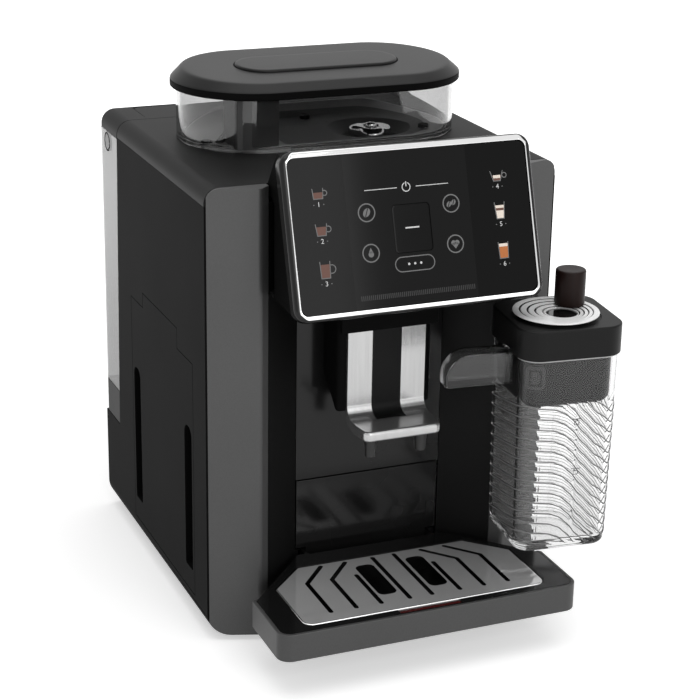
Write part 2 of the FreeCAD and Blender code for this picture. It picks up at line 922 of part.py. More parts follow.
def hopper_lid():
    """Oblong lid that slopes down to the front, with a round shoulder, a low pad and a rim round the bowl."""
    rise = lid_radius * math.tan(math.radians(lid_lean))
    blank = obround(lid_half_length, lid_radius, lid_bottom, lid_top + rise + past, 0, hopper_y)
    above = box(-lid_half_length - past, lid_half_length + past, -2 * lid_radius, 2 * lid_radius, 0, lid_height)
    blank = blank.cut(on_lid(above))
    crown = max(blank.Faces, key=lambda face: face.CenterOfMass.z)
    blank = blank.makeFillet(lid_edge, crown.Edges)
    rim_room = obround(bowl_half_length + lid_gap, bowl_radius + lid_gap, lid_bottom - past, bowl_top,
                       0, hopper_y)
    plug = bowl_wall + lid_lip
    hollow = obround(bowl_half_length - plug, bowl_radius - plug, lid_bottom - past,
                     lid_top - rise - lid_roof, 0, hopper_y)
    pad = obround(lid_pad_half_length, lid_pad_radius, -lid_roof / 2, lid_pad_height)
    pad_rim = [edge for edge in pad.Edges if all(abs(v.Z - lid_pad_height) < 1e-6 for v in edge.Vertexes)]
    pad = pad.makeFillet(lid_pad_edge, pad_rim)
    return cut_all(fused([blank, on_lid(pad)]), [rim_room, hollow])


def grounds_outlet():
    """The hole in the grinder's side and the bulkhead that the ground coffee leaves by."""
    low = grinder_bottom + grinder_floor
    return box(bulkhead_x - past, grinder_x, grinder_y - outlet_width / 2, grinder_y + outlet_width / 2,
               low, low + outlet_height)


def grinder_pad(low):
    """Foot between the grinder's axis and the bulkhead, from one height up."""
    half = pad_width / 2
    return box(bulkhead_x + bulkhead_thickness, grinder_x, grinder_y - half, grinder_y + half,
               low, low + pad_height)


def grinder_housing():
    """Round housing of the burrs under the hopper's floor, on a pad against the bulkhead."""
    outer = rod(grinder_x, grinder_y, grinder_bottom, floor_bottom, grinder_radius)
    bore = rod(grinder_x, grinder_y, grinder_bottom + grinder_floor, floor_bottom + past, grinder_bore)
    shaft = rod(grinder_x, grinder_y, grinder_bottom - past, floor_bottom, burr_shaft_radius + seam)
    pad = grinder_pad(grinder_bottom)
    return cut_all(fused([outer, pad]), [bore, shaft, grounds_outlet()])


def grinder_motor():
    """Motor under the grinder, on a pad against the bulkhead."""
    low = grinder_bottom - motor_height
    drum = rod(grinder_x, grinder_y, low, grinder_bottom, motor_radius)
    pad = grinder_pad(grinder_bottom - shaft_depth)
    bore = rod(grinder_x, grinder_y, grinder_bottom - shaft_depth, grinder_bottom + past,
               burr_shaft_radius + running_gap)
    return fused([drum, pad]).cut(bore)


def burr_levels():
    """Heights of the lower burr's bottom, the face between the burrs and the upper burr's top."""
    low = grinder_bottom + burr_above_floor
    middle = low + burr_thickness
    return low, middle, middle + burr_gap + burr_thickness


def burr_shaft():
    """Motor shaft up to the lower burr."""
    low = grinder_bottom - shaft_depth + seam
    return rod(grinder_x, grinder_y, low, burr_levels()[0], burr_shaft_radius)


def lower_burr():
    """Spinning burr with a cone that feeds the beans outwards."""
    low, middle, top = burr_levels()
    disc = rod(grinder_x, grinder_y, low, middle, lower_burr_radius)
    tip = Vector(grinder_x, grinder_y, middle)
    cone = Part.makeCone(burr_cone, burr_cone / 3, burr_thickness - burr_gap, tip)
    return fused([disc, cone])


def upper_burr():
    """Ring burr on three arms that the grind dial turns."""
    low, middle, top = burr_levels()
    face = middle + burr_gap
    ring = rod(grinder_x, grinder_y, face, top, burr_radius)
    ring = ring.cut(rod(grinder_x, grinder_y, face - past, top + past, burr_eye))
    hub = rod(grinder_x, grinder_y, top, top + burr_arm, dial_stem_radius + wall)
    arms = []
    for i in range(3):
        arm = box(0, burr_radius - wall, -burr_arm / 2, burr_arm / 2, top, top + burr_arm)
        arm.rotate(Vector(0, 0, 0), Vector(0, 0, 1), 120 * i)
        arm.translate(Vector(grinder_x, grinder_y, 0))
        arms.append(arm)
    return fused([ring, hub] + arms)


def grind_dial():
    """Grind setting knob in the hopper's floor: a ribbed disc with a wing grip and a stem."""
    stem_low = burr_levels()[2] + burr_arm
    disc_low = body_top - dial_thickness
    stem = rod(grinder_x, grinder_y, stem_low, disc_low, dial_stem_radius)
    disc = rod(grinder_x, grinder_y, disc_low, body_top, dial_radius)
    reach = dial_radius - dial_wing / 2
    wing = box(grinder_x - reach, grinder_x + reach, grinder_y - dial_wing / 2, grinder_y + dial_wing / 2,
               body_top, body_top + dial_wing_height)
    hub = rod(grinder_x, grinder_y, body_top, body_top + dial_wing, dial_stem_radius)
    return fused([stem, disc, hub, wing])


def brew_chamber():
    """Block with the upright brewing bore, fixed to the bulkhead."""
    half = brew_block / 2
    block = box(brew_x - half, brew_x + half, brew_y - half, brew_y + half, brew_bottom, brew_top)
    arm = box(brew_x, bulkhead_x, brew_y - brew_arm / 2, brew_y + brew_arm / 2, brew_bottom + brew_floor,
              brew_bottom + brew_floor + brew_arm)
    bore = rod(brew_x, brew_y, brew_bottom + brew_floor, brew_top + past, brew_bore)
    outlet = rod(brew_x, brew_y, brew_bottom - past, brew_bottom + brew_floor + past, brew_outlet)
    return cut_all(fused([block, arm]), [bore, outlet])


def piston_levels():
    """Heights of the raised piston's bottom, of its top and of its sleeve's top."""
    low = brew_top - piston_height - piston_floor
    return low, low + piston_height, low + piston_height + piston_sleeve


def brew_piston():
    """Piston with the threaded sleeve that the screw turns in."""
    low, top, sleeve_top = piston_levels()
    disc = rod(brew_x, brew_y, low, top, brew_bore - running_gap)
    sleeve = rod(brew_x, brew_y, top, sleeve_top, piston_sleeve_radius)
    bore = rod(brew_x, brew_y, low + piston_floor, sleeve_top + past, screw_radius + running_gap)
    return fused([disc, sleeve]).cut(bore)


def screw_top():
    """Height where the screw enters its motor."""
    return piston_levels()[2] + brew_motor_gap


def brew_screw():
    """Lead screw that drives the piston, with its thread left plain."""
    low = piston_levels()[0]
    return rod(brew_x, brew_y, low + piston_floor + seam, screw_top() - seam, screw_radius)


def brew_motor():
    """Gear motor above the piston, hung from the bulkhead."""
    low = screw_top()
    drum = rod(brew_x, brew_y, low, low + brew_motor_height, brew_motor_radius)
    arm = box(brew_x, bulkhead_x, brew_y - brew_motor_arm / 2, brew_y + brew_motor_arm / 2,
              low + brew_motor_gap, low + brew_motor_gap + brew_motor_arm)
    return fused([drum, arm])


def heater_place():
    """Y of the heater's front and back."""
    back = tank_front_top - wall - heater_gap
    return back - heater_depth, back


def heater_block():
    """Flow heater with grooved sides."""
    front, back = heater_place()
    block = box(heater_x, heater_x + heater_width, front, back, pan_top, pan_top + heater_height)
    grooves = []
    pitch = heater_height / (heater_grooves + 1)
    for i in range(heater_grooves):
        z = pan_top + pitch * (i + 1)
        end = heater_x + heater_groove
        grooves.append(box(heater_x - past, end, front - past, back + past, z, z + heater_groove))
    return cut_all(block, grooves)


def pump_ends():
    """Y of the pump's outlet and inlet ends."""
    inlet = heater_place()[0] - pump_ahead
    return inlet - pump_length, inlet


def pump_body():
    """Vibration pump with its square coil and foot, bored for the plunger."""
    front, back = pump_ends()
    middle = (front + back) / 2
    tube = bar(Vector(pump_x, front, pump_z), Vector(pump_x, back, pump_z), pump_radius)
    half = pump_coil_length / 2
    square = rectangle(2 * pump_coil_radius, 2 * pump_coil_radius, pump_stroke, pump_x, pump_z)
    coil = front_slab(square, middle - half, middle + half)
    foot = box(pump_x - pump_foot, pump_x + pump_foot, front + pump_stroke, back - pump_stroke,
               pan_top, pump_z)
    reach = pump_plunger_length / 2 + pump_stroke + past
    bore = bar(Vector(pump_x, middle - reach, pump_z), Vector(pump_x, middle + reach, pump_z),
               pump_plunger_radius + running_gap)
    return fused([tube, coil, foot]).cut(bore)


def pump_plunger():
    """Plunger inside the pump."""
    front, back = pump_ends()
    middle = (front + back) / 2
    half = pump_plunger_length / 2
    start = Vector(pump_x, middle - half, pump_z)
    return bar(start, Vector(pump_x, middle + half, pump_z), pump_plunger_radius)


def hose(points):
    """Hose along straight runs, with a tangent bend at each point between the ends."""
    edges = []
    start = points[0]
    for i in range(1, len(points) - 1):
        a = (points[i - 1] - points[i]).normalize()
        b = (points[i + 1] - points[i]).normalize()
        half = a.getAngle(b) / 2
        shorter = min((points[i - 1] - points[i]).Length, (points[i + 1] - points[i]).Length)
        radius = min(hose_bend, hose_bend_share * shorter * math.tan(half))
        reach = radius / math.tan(half)
        first = points[i] + a * reach
        last = points[i] + b * reach
        middle = points[i] + (a + b).normalize() * (radius / math.sin(half) - radius)
        edges.append(Part.LineSegment(start, first).toShape())
        edges.append(Part.Arc(first, middle, last).toShape())
        start = last
    edges.append(Part.LineSegment(start, points[-1]).toShape())
    path = Part.Wire(edges)
    ring = Part.Wire([Part.makeCircle(hose_radius, points[0], points[1] - points[0])])
    return path.makePipeShell([ring], True, False)


def water_hoses():
    """Hose from the tank's outlet to the pump and hose from the pump to the heater."""
    front, back = pump_ends()
    heater_front = heater_place()[0]
    seat = tank_seat_y()
    left = heater_x - hose_bend
    right = heater_x + heater_width + 2 * hose_radius
    shelf = tank_floor - wall - seam
    cross = (heater_front + back) / 2
    ahead = front - hose_bend
    high = pan_top + heater_height - hose_bend
    above = cross - hose_radius
    suction = hose([Vector(0, seat, shelf), Vector(0, seat, (shelf + pump_z) / 2), Vector(left, seat, pump_z),
                    Vector(left, cross, pump_z), Vector(pump_x, cross, pump_z),
                    Vector(pump_x, back + seam, pump_z)])
    pressure = hose([Vector(pump_x, front - seam, pump_z), Vector(pump_x, ahead, pump_z),
                     Vector(right, ahead, (pump_z + high) / 2), Vector(right, above, high),
                     Vector(pump_x, above, high), Vector(pump_x, heater_front - seam, high)])
    return Part.makeCompound([suction, pressure])


def steam_hose():
    """Hose from the heater up to the steam port behind the right column."""
    heater_front, heater_back = heater_place()
    end = at_jug(Part.Vertex(0, port_inner_y() + seam, port_z())).Point
    x = heater_x + heater_width - 3 * hose_radius
    y = heater_back - 3 * hose_radius
    top = pan_top + heater_height + seam
    turn = Vector(x, y, (top + port_z()) / 2)
    return hose([Vector(x, y, top), turn, Vector(end.x, heater_front, port_z()), end])


def spout_profile():
    """Corners in Y and Z of the chrome cover: upright plate, hollow bend and forward lip."""
    top = bay_top + carriage_above_bay
    lip = spout_bottom + spout_lip_height
    back = spout_face + spout_plate
    return [(spout_face, top), (spout_face, lip, spout_bend), (spout_lip, lip, spout_lip_round),
            (spout_lip, spout_bottom, spout_lip_round),
            (back, spout_bottom, spout_bend + spout_plate), (back, top)]


def strip_tool(grow, y0, y1):
    """The black strip's outline with a round lower end, carried from one Y to another."""
    half = strip_half_width + grow
    top = bay_top + carriage_above_bay + past
    low = strip_bottom - grow
    corners = [(-half, low, strip_round), (half, low, strip_round), (half, top), (-half, top)]
    return front_slab(corners, y0, y1)


def spout_cover():
    """Chrome front of the spout with the opening for the black strip."""
    plate = side_slab(spout_profile(), -spout_half_width, spout_half_width)
    return plate.cut(strip_tool(0, spout_lip, spout_face + spout_plate + past))


def carriage_tail_span():
    """Lowest and highest point of the carriage's tail."""
    high = bay_top - tail_below_bay
    return high - tail_height, high


def spout_carriage():
    """Black carriage behind the chrome, with the strip that shows in it and a tail in the back wall."""
    front = spout_face + spout_plate
    back = bay_depth - seam
    top = bay_top + carriage_above_bay
    low = spout_bottom + spout_lip_height
    plan = [(-carriage_half_width, front, carriage_round), (carriage_half_width, front, carriage_round),
            (carriage_half_width, back), (-carriage_half_width, back)]
    side = [(front, top), (front, low, spout_lip_round), (back, low + back - front), (back, top)]
    block = slab(plan, low, top).common(side_slab(side, -half_width, half_width))
    strip = strip_tool(-strip_gap, spout_face + strip_gap, front)
    strip = strip.common(box(-half_width, half_width, spout_face, front, low + spout_bend + past, top))
    tail_low, tail_high = carriage_tail_span()
    tail = box(-tail_half_width, tail_half_width, back, bay_depth + wall + tail_reach, tail_low, tail_high)
    return fused([block, strip, tail])


def spout_nozzles():
    """The two coffee outlets under the lip."""
    nozzles = []
    for x in (-nozzle_pitch / 2, nozzle_pitch / 2):
        end = spout_bottom - nozzle_length
        bore = rod(x, nozzle_y, end - past, spout_bottom - past, nozzle_bore)
        nozzles.append(rod(x, nozzle_y, end, spout_bottom, nozzle_radius).cut(bore))
    return Part.makeCompound(nozzles)


def tray_plan(inset):
    """Corners in plan of the tray, wide in front and drawn in at the back, inset all round."""
    along = wall_direction()
    side = tray_half - inset
    back_x = bay_back + tray_clear
    back_y = bay_depth - tray_clear / along.x - tray_clear
    slant = math.atan2(back_y + tray_side_end, tray_half - back_x)
    pull = inset * math.tan((math.pi / 2 - slant) / 2)
    rear_x = back_x - inset / math.sin(slant) * (1 - math.cos(slant))
    front = -tray_reach + inset
    corner = tray_corner - inset
    bend = -tray_side_end - pull
    return [(-side, front, corner), (side, front, corner), (side, bend), (rear_x, back_y - inset),
            (-rear_x, back_y - inset), (-side, bend)]


def grid_plan(grow):
    """Corners in plan of the drip grid, grown all round."""
    side = grid_half + grow
    front = grid_front - grow
    back = grid_back + grow
    cut = grid_chamfer + grow * (math.sqrt(2) - 2)
    bend = grid_round / 2
    return [(-side, front, grid_round), (side, front, grid_round), (side, back - cut, bend),
            (side - cut, back, bend), (-side + cut, back, bend), (-side, back - cut, bend)]


def drip_tray():
    """Drip basin with a ledge for the grid and the drawer that holds the grounds container."""
    basin = slab(tray_plan(band), tray_bottom, tray_top)
    seat = slab(grid_plan(grid_gap), tray_top - grid_thickness, tray_top + past)
    hollow = slab(grid_plan(-grid_ledge), tray_bottom + tray_floor, tray_top)
    float_half = float_half_length + float_gap
    float_front = grid_front - float_depth - 3 * float_gap
    float_room = box(-float_half, float_half, float_front, grid_front + 2 * grid_ledge,
                     tray_bottom + tray_floor, tray_top + past)
    drawer = box(-drawer_half_width, drawer_half_width, drawer_start, drawer_back, drawer_bottom,
                 tray_top - rail_gap)
    inner = drawer_half_width - drawer_wall
    drawer_room = box(-inner, inner, drawer_start + drawer_wall, drawer_back - drawer_wall,
                      drawer_bottom + drawer_floor, tray_top + past)
    return cut_all(fused([basin, drawer]), [seat, hollow, float_room, drawer_room])


def tray_band():
    """Grey band round the tray's front and sides."""
    inner = slab(tray_plan(band), tray_bottom - past, tray_top + past)
    ring = slab(tray_plan(0), tray_bottom, tray_top).cut(inner)
    side = tray_half + past
    front_part = box(-side, side, -tray_reach - past, -tray_side_end + band_end, 0, tray_top + past)
    return ring.common(front_part)


def grounds_container():
    """Open box for spent grounds, with the glossy front that closes the bay's lower back."""
    side = bay_back - 2 * seam
    low = tray_top + rail_gap
    front = box(-side, side, bay_depth, bay_depth + wall, low, tray_top + grounds_front)
    half = drawer_half_width - drawer_wall - grounds_gap
    back = drawer_back - drawer_wall - grounds_gap
    bottom = drawer_bottom + drawer_floor
    bin_box = box(-half, half, bay_depth, back, bottom, tray_top + grounds_front - 2 * grounds_wall)
    inner = half - grounds_wall
    room = box(-inner, inner, bay_depth + wall, back - grounds_wall, bottom + grounds_wall,
               tray_top + grounds_front + past)
    return fused([bin_box, front]).cut(room)


def slot_path(points):
    """Cutting tool for a slot of even width along flat points, with round ends and bends."""
    low = tray_top - grid_thickness - past
    high = tray_top + past
    radius = slot_width / 2
    parts = [rod(x, y, low, high, radius) for x, y in points]
    for a, b in zip(points, points[1:]):
        length = math.dist(a, b)
        run = box(0, length, -radius, radius, low, high)
        run.rotate(Vector(0, 0, 0), Vector(0, 0, 1), math.degrees(math.atan2(b[1] - a[1], b[0] - a[0])))
        run.translate(Vector(a[0], a[1], 0))
        parts.append(run)
    return fused(parts)


def drip_grid():
    """Polished drip grid with chevron slots, straight slots and two long holes."""
    plate = slab(grid_plan(0), tray_top - grid_thickness, tray_top)
    outer = grid_half - slot_edge
    pitch = outer / slot_rows
    front = grid_front + slot_front_edge
    back = grid_back - slot_back_edge
    bend = back - slot_bend
    hole_front = grid_front + hole_front_edge
    hole_back = grid_back - hole_back_edge
    tools = []
    for sign in (-1, 1):
        for x in (outer, outer - pitch):
            tools.append(slot_path([(sign * (x - pitch), back), (sign * x, bend), (sign * x, front)]))
        tools.append(slot_path([(sign * (outer - 2 * pitch), bend), (sign * (outer - 2 * pitch), front)]))
        tools.append(slot_path([(sign * slot_inner * pitch, back), (sign * slot_inner * pitch, front)]))
        hole = rectangle(min(hole_width, hole_share * pitch), hole_back - hole_front, hole_width / 3,
                         sign * hole_place * pitch, (hole_back + hole_front) / 2)
        tools.append(slab(hole, tray_top - grid_thickness - past, tray_top + past))
    return cut_all(plate, tools)


def float_indicator():
    """Red bar that rises in front of the grid when the tray is full."""
    front = grid_front - float_depth - 2 * float_gap
    return box(-float_half_length, float_half_length, front, front + float_depth,
               tray_bottom + tray_floor + float_gap, tray_top - float_gap)


def water_tank():
    """Clear wall of the water tank, open at both ends."""
    low = tank_floor + tank_base_height
    high = body_top - tank_cover_height
    outer = rounded_tank(low, high, 0)
    return outer.cut(rounded_tank(low - past, high + past, tank_wall))


def rounded_tank(z0, z1, inset):
    """Solid of the tank between two heights, with rounded upright back edges."""
    side = half_width - tank_side_gap - inset
    plan = [(-side, tank_front_top - past), (side, tank_front_top - past),
            (side, body_depth - inset, tank_edge - inset), (-side, body_depth - inset, tank_edge - inset)]
    block = slab(plan, z0, z1)
    return block.common(side_slab(tank_side(z0, z1, -past, inset), -half_width, half_width))


def tank_base():
    """Dark lower part of the tank with the recess over its outlet seat."""
    low = tank_floor + seam
    high = tank_floor + tank_base_height
    room = rounded_tank(low + seat_height + tank_sole, high + past, tank_wall)
    recess = rod(0, tank_seat_y(), low - past, tank_floor + seat_height + seam, seat_radius + 2 * seam)
    outlet = rod(0, tank_seat_y(), low, high, hose_radius)
    return cut_all(rounded_tank(low, high, 0), [room, recess, outlet])


def tank_cover():
    """Black top of the tank that carries on the body's rounded top, with the filling opening."""
    low = body_top - tank_cover_height
    front = tank_front_top
    block = body_section(0.0, front, body_depth)
    block = block.common(side_slab(tank_side(low, body_top), -half_width, half_width))
    back_edge = [edge for edge in block.Edges
                 if all(abs(v.Y - body_depth) < 1e-6 and abs(v.Z - body_top) < 1e-6 for v in edge.Vertexes)]
    block = block.makeFillet(tank_cover_round, back_edge)
    inner = half_width - tank_cover_wall
    roof = body_top - flap_thickness - tank_wall
    hollow = box(-inner, inner, front + wall, body_depth - tank_cover_wall, low - past, roof)
    open_half = flap_half_width - flap_ledge
    opening = box(-open_half, open_half, front + flap_front + flap_ledge, flap_axis_y() - 2 * flap_ledge,
                  low, body_top)
    ledge_plan = flap_plan(seam, flap_round - flap_corner_play)
    ledge = slab(ledge_plan, body_top - flap_thickness - seam, body_top + past)
    reach = flap_half_width + flap_pin_length + seam
    pin = bar(Vector(-reach, flap_axis_y(), flap_axis_z()), Vector(reach, flap_axis_y(), flap_axis_z()),
              flap_pin_radius + running_gap)
    return cut_all(block, [hollow, opening, ledge, pin])


def flap_plan(grow, radius):
    """Corners in plan of the filling flap, grown all round, with round back corners."""
    half = flap_half_width - seam + grow
    front = tank_front_top + flap_front + seam - grow
    back = body_depth - flap_back - seam + grow
    return [(-half, front), (half, front), (half, back, radius), (-half, back, radius)]


def flap_axis_y():
    """Y of the flap's hinge."""
    return body_depth - flap_back - flap_thickness / 2 - seam


def flap_axis_z():
    """Height of the flap's hinge."""
    return body_top - flap_sunk - flap_thickness / 2


def tank_flap():
    """Filling flap with a round back edge and two hinge pins."""
    half = flap_half_width - seam
    top = body_top - flap_sunk
    front = tank_front_top + flap_front + seam
    axis_y = flap_axis_y()
    axis_z = flap_axis_z()
    plate = box(-half, half, front, axis_y, top - flap_thickness, top)
    barrel = bar(Vector(-half, axis_y, axis_z), Vector(half, axis_y, axis_z), flap_thickness / 2)
    reach = flap_half_width + flap_pin_length
    pins = bar(Vector(-reach, axis_y, axis_z), Vector(reach, axis_y, axis_z), flap_pin_radius)
    notch = box(-flap_notch / 2, flap_notch / 2, front - past, front + flap_ledge,
                top - flap_thickness - past, top - flap_thickness / 2)
    leaf_plan = slab(flap_plan(0, flap_round), top - flap_thickness - past, top + past)
    leaf = fused([plate, barrel]).common(leaf_plan)
    return fused([leaf, pins]).cut(notch)


def jug_glass():
    """Clear jug with a thick base, a little narrower at the bottom."""
    def section(shrink, z):
        corners = rectangle(jug_width - 2 * shrink, jug_depth - 2 * shrink, jug_round - shrink / 2)
        return outline(corners, lambda a, b: Vector(a, b, z)).OuterWire

    def body(inset, low):
        return Part.makeLoft([section(jug_draft + inset, low), section(inset, jug_top)], True, True)

    outer = body(0, jug_bottom)
    foot = [edge for edge in outer.Edges if all(abs(v.Z - jug_bottom) < 1e-6 for v in edge.Vertexes)]
    outer = outer.makeFillet(jug_foot_round, foot)
    return at_jug(outer.cut(body(jug_wall, jug_bottom + jug_base)))


def port_z():
    """Height of the steam port."""
    return jug_top + jug_lid_height / 2


def port_inner_y():
    """Inner end of the steam port in the jug's frame."""
    return jug_lid_depth / 2 + port_length


def steam_port_boss(grow):
    """The port's round boss, in the jug's frame."""
    start = Vector(0, jug_lid_depth / 2 + port_gap, port_z())
    return bar(start, Vector(0, port_inner_y(), port_z()), port_radius + grow)


def steam_port():
    """Steam nozzle on the right column that the jug's lid is pushed onto."""
    tip = Vector(0, jug_lid_depth / 2 + port_gap - port_nozzle_length, port_z())
    boss_start = Vector(0, jug_lid_depth / 2 + port_gap, port_z())
    return at_jug(fused([steam_port_boss(0), bar(tip, boss_start, port_nozzle)]))


def jug_lid():
    """Black lid with a socket for the steam port and a well for the froth dial."""
    block = slab(rectangle(jug_lid_width, jug_lid_depth, jug_lid_round), jug_top, jug_lid_top)
    top = [edge for edge in block.Edges if all(abs(v.Z - jug_lid_top) < 1e-6 for v in edge.Vertexes)]
    block = block.makeFillet(jug_lid_edge, top)
    deep = jug_lid_depth / 2 - port_nozzle_length - past
    socket = bar(Vector(0, deep, port_z()), Vector(0, jug_lid_depth, port_z()), port_nozzle + port_gap)
    well = rod(froth_dial_x, froth_dial_y, jug_lid_top - froth_dial_sunk, jug_lid_top + past,
               froth_dial_radius + seam)
    return at_jug(cut_all(block, [socket, well]))


def insert_corners():
    """Corners of the lid's insert inside the jug."""
    slope = jug_draft / jug_height
    gap = 2 * (jug_wall + insert_gap + slope * insert_depth)
    return rectangle(jug_width - gap, jug_depth - gap, jug_round - jug_wall)


def clip_x():
    """X of the insert's left face, where the clip stands."""
    return insert_corners()[0][0]


def jug_insert():
    """Dark insert of the lid inside the jug, hollow, bored for the milk tube and the clip."""
    low = jug_top - insert_depth
    block = slab(insert_corners(), low, jug_top)
    width = insert_corners()[1][0] - insert_corners()[0][0] - 2 * insert_wall
    depth = insert_corners()[2][1] - insert_corners()[1][1] - 2 * insert_wall
    room = rectangle(width, depth, jug_round - jug_wall - insert_wall)
    hollow = slab(room, low - past, jug_top - insert_roof)
    outside = Vector(clip_x() - past, clip_y(), clip_z())
    inside = Vector(clip_x() + insert_wall + past, clip_y(), clip_z())
    hole = bar(outside, inside, clip_radius + seam)
    return at_jug(cut_all(block, [hollow, hole, tube_tool(milk_tube_radius + tube_gap)]))


def clip_y():
    """Y of the clip in the jug's frame."""
    return -jug_depth / 2 + clip_inset


def clip_z():
    """Height of the clip."""
    return jug_top - insert_depth / 2


def jug_clip():
    """Round sprung clip in the insert's left side that grips the jug's inside."""
    face = Vector(clip_x() - insert_gap / 2, clip_y(), clip_z())
    inner = Vector(clip_x() + insert_wall, clip_y(), clip_z())
    return at_jug(bar(face, inner, clip_radius))


def tube_tool(radius):
    """Upright bar where the milk tube runs, in the jug's frame."""
    return rod(milk_tube_x, milk_tube_y, jug_bottom + jug_base + milk_tube_gap, jug_top, radius)


def milk_tube():
    """Suction tube from the lid down to just above the jug's base."""
    bore = rod(milk_tube_x, milk_tube_y, jug_bottom, jug_top + past, milk_tube_bore)
    return at_jug(tube_tool(milk_tube_radius).cut(bore))


def milk_spout():
    """Smoky beak on the lid's left that pours milk beside the coffee nozzles."""
    root = -jug_lid_width / 2
    tip = root - milk_spout_reach
    top = jug_top + milk_spout_lap
    low = top - milk_spout_height
    bend = milk_spout_height / 2
    corners = [(root, top), (tip + bend, top, bend), (tip, low + milk_spout_wall),
               (tip + milk_spout_wall, low), (root, low)]
    y0 = milk_spout_y - milk_spout_width / 2
    y1 = y0 + milk_spout_width
    beak = front_slab(corners, y0, y1)
    roof = top - milk_spout_wall
    room = [(root + past, roof), (tip + bend + milk_spout_wall, roof, bend - milk_spout_wall),
            (tip + 2 * milk_spout_wall, low - past), (root + past, low - past)]
    hollow = front_slab(room, y0 + milk_spout_wall, y1 - milk_spout_wall)
    return at_jug(beak.cut(hollow))


def froth_dial():
    """Ringed froth dial on the lid with a sunk middle."""
    low = jug_lid_top - froth_dial_sunk + froth_dial_gap
    high = jug_lid_top + froth_dial_height
    disc = rod(froth_dial_x, froth_dial_y, low, high, froth_dial_radius)
    tools = [rod(froth_dial_x, froth_dial_y, high - froth_well_depth, high + past, froth_well_radius)]
    for i in range(3):
        radius = froth_well_radius + froth_ring_pitch * (i + 1)
        ring = rod(froth_dial_x, froth_dial_y, high - froth_ring_depth, high + past, radius)
        core = rod(froth_dial_x, froth_dial_y, high - past, high + 2 * past, radius - froth_ring_width)
        tools.append(ring.cut(core))
    return at_jug(cut_all(disc, tools))


def dial_handle():
    """Upright round handle on the froth dial."""
    angle = math.radians(handle_angle - jug_turn)
    x = froth_dial_x + handle_reach * math.cos(angle)
    y = froth_dial_y + handle_reach * math.sin(angle)
    low = jug_lid_top + froth_dial_height
    peg = rod(x, y, low, low + handle_height, handle_radius)
    top = [edge for edge in peg.Edges if all(abs(v.Z - low - handle_height) < 1e-6 for v in edge.Vertexes)]
    return at_jug(peg.makeFillet(jug_lid_edge, top))


PIECES = [base_frame, rubber_feet, left_side_panel, right_side_panel, left_fascia, right_fascia, top_cover,
          bay_side_walls, bay_back_wall, bay_ceiling, inner_frame, rear_cover, power_inlet, case_screws,
          panel_housing, panel_bezel, panel_glass, start_stop_button, control_board, hopper_bowl,
          hopper_floor, hopper_lid, grinder_housing, grinder_motor, burr_shaft, lower_burr, upper_burr,
          grind_dial, brew_chamber, brew_piston, brew_screw, brew_motor, heater_block, pump_body,
          pump_plunger, water_hoses, steam_hose,
          spout_carriage, spout_cover, spout_nozzles, drip_tray, tray_band, grounds_container, drip_grid,
          float_indicator, service_door, water_tank, tank_base, tank_cover, tank_flap, jug_glass, steam_port,
          jug_lid, jug_insert, jug_clip, milk_tube, milk_spout, froth_dial, dial_handle]


def save(name, shape):
    """Write one piece in the object's own frame."""
    moved = shape.copy()
    moved.translate(shift)
    moved.exportStep("parts/" + name + ".step")


def main():
    """Build and write every piece."""
    os.makedirs("parts", exist_ok=True)
    for piece in PIECES:
        save(piece.__name__, piece())


main()
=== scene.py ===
import math

import bmesh
import bpy
from bpy.props import FloatProperty, FloatVectorProperty, IntProperty, PointerProperty
from mathutils import Matrix, Vector


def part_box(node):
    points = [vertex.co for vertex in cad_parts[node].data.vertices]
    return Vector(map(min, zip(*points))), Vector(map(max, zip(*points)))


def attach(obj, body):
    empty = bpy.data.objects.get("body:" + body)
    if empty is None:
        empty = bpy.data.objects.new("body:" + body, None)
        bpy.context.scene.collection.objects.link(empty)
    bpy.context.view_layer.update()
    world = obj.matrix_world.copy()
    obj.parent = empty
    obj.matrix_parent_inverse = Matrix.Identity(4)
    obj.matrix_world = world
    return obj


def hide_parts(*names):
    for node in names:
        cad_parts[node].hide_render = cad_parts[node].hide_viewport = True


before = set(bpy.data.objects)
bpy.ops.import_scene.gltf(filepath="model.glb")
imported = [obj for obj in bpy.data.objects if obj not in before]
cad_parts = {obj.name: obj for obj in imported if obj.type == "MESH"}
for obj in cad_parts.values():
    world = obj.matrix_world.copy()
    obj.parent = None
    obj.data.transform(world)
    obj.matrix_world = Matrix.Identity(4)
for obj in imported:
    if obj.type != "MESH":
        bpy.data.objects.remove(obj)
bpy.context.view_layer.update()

bl_info = {
    "name": "Bean-to-cup coffee machine",
    "version": (1, 0, 0),
    "blender": (4, 5, 0),
    "location": "3D View > Sidebar > Machine",
    "description": "Looks of a coffee machine with a milk jug, built on its packed construction",
    "category": "Object",
}

# Pieces are drawn in millimetres in the machine's own frame: X across from the centre plane, Y back from
# the front ends of the side panels, Z up from the counter. MACHINE carries them to the shared frame.
MM = 0.001
glass_low, glass_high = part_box("panel_glass")
side_low, side_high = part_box("left_side_panel")
MACHINE = Matrix.Translation(((glass_low.x + glass_high.x) / 2, side_low.y, 0)) @ Matrix.Scale(MM, 4)
TO_MACHINE = MACHINE.inverted()
FLAT = 1e-3


def machine_box(node):
    """Lowest and highest corner of a CAD node, in machine millimetres."""
    low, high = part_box(node)
    return TO_MACHINE @ low, TO_MACHINE @ high


def linear(code):
    """Linear colour of a six-digit sRGB code."""
    shares = [int(code[i:i + 2], 16) / 255 for i in (0, 2, 4)]
    return tuple(c / 12.92 if c <= 0.04045 else ((c + 0.055) / 1.055) ** 2.4 for c in shares)


def colour(name, description, code):
    """Colour property with its default given as an sRGB code."""
    return FloatVectorProperty(name=name, description=description, default=linear(code), subtype="COLOR",
                               size=3, min=0, max=1)


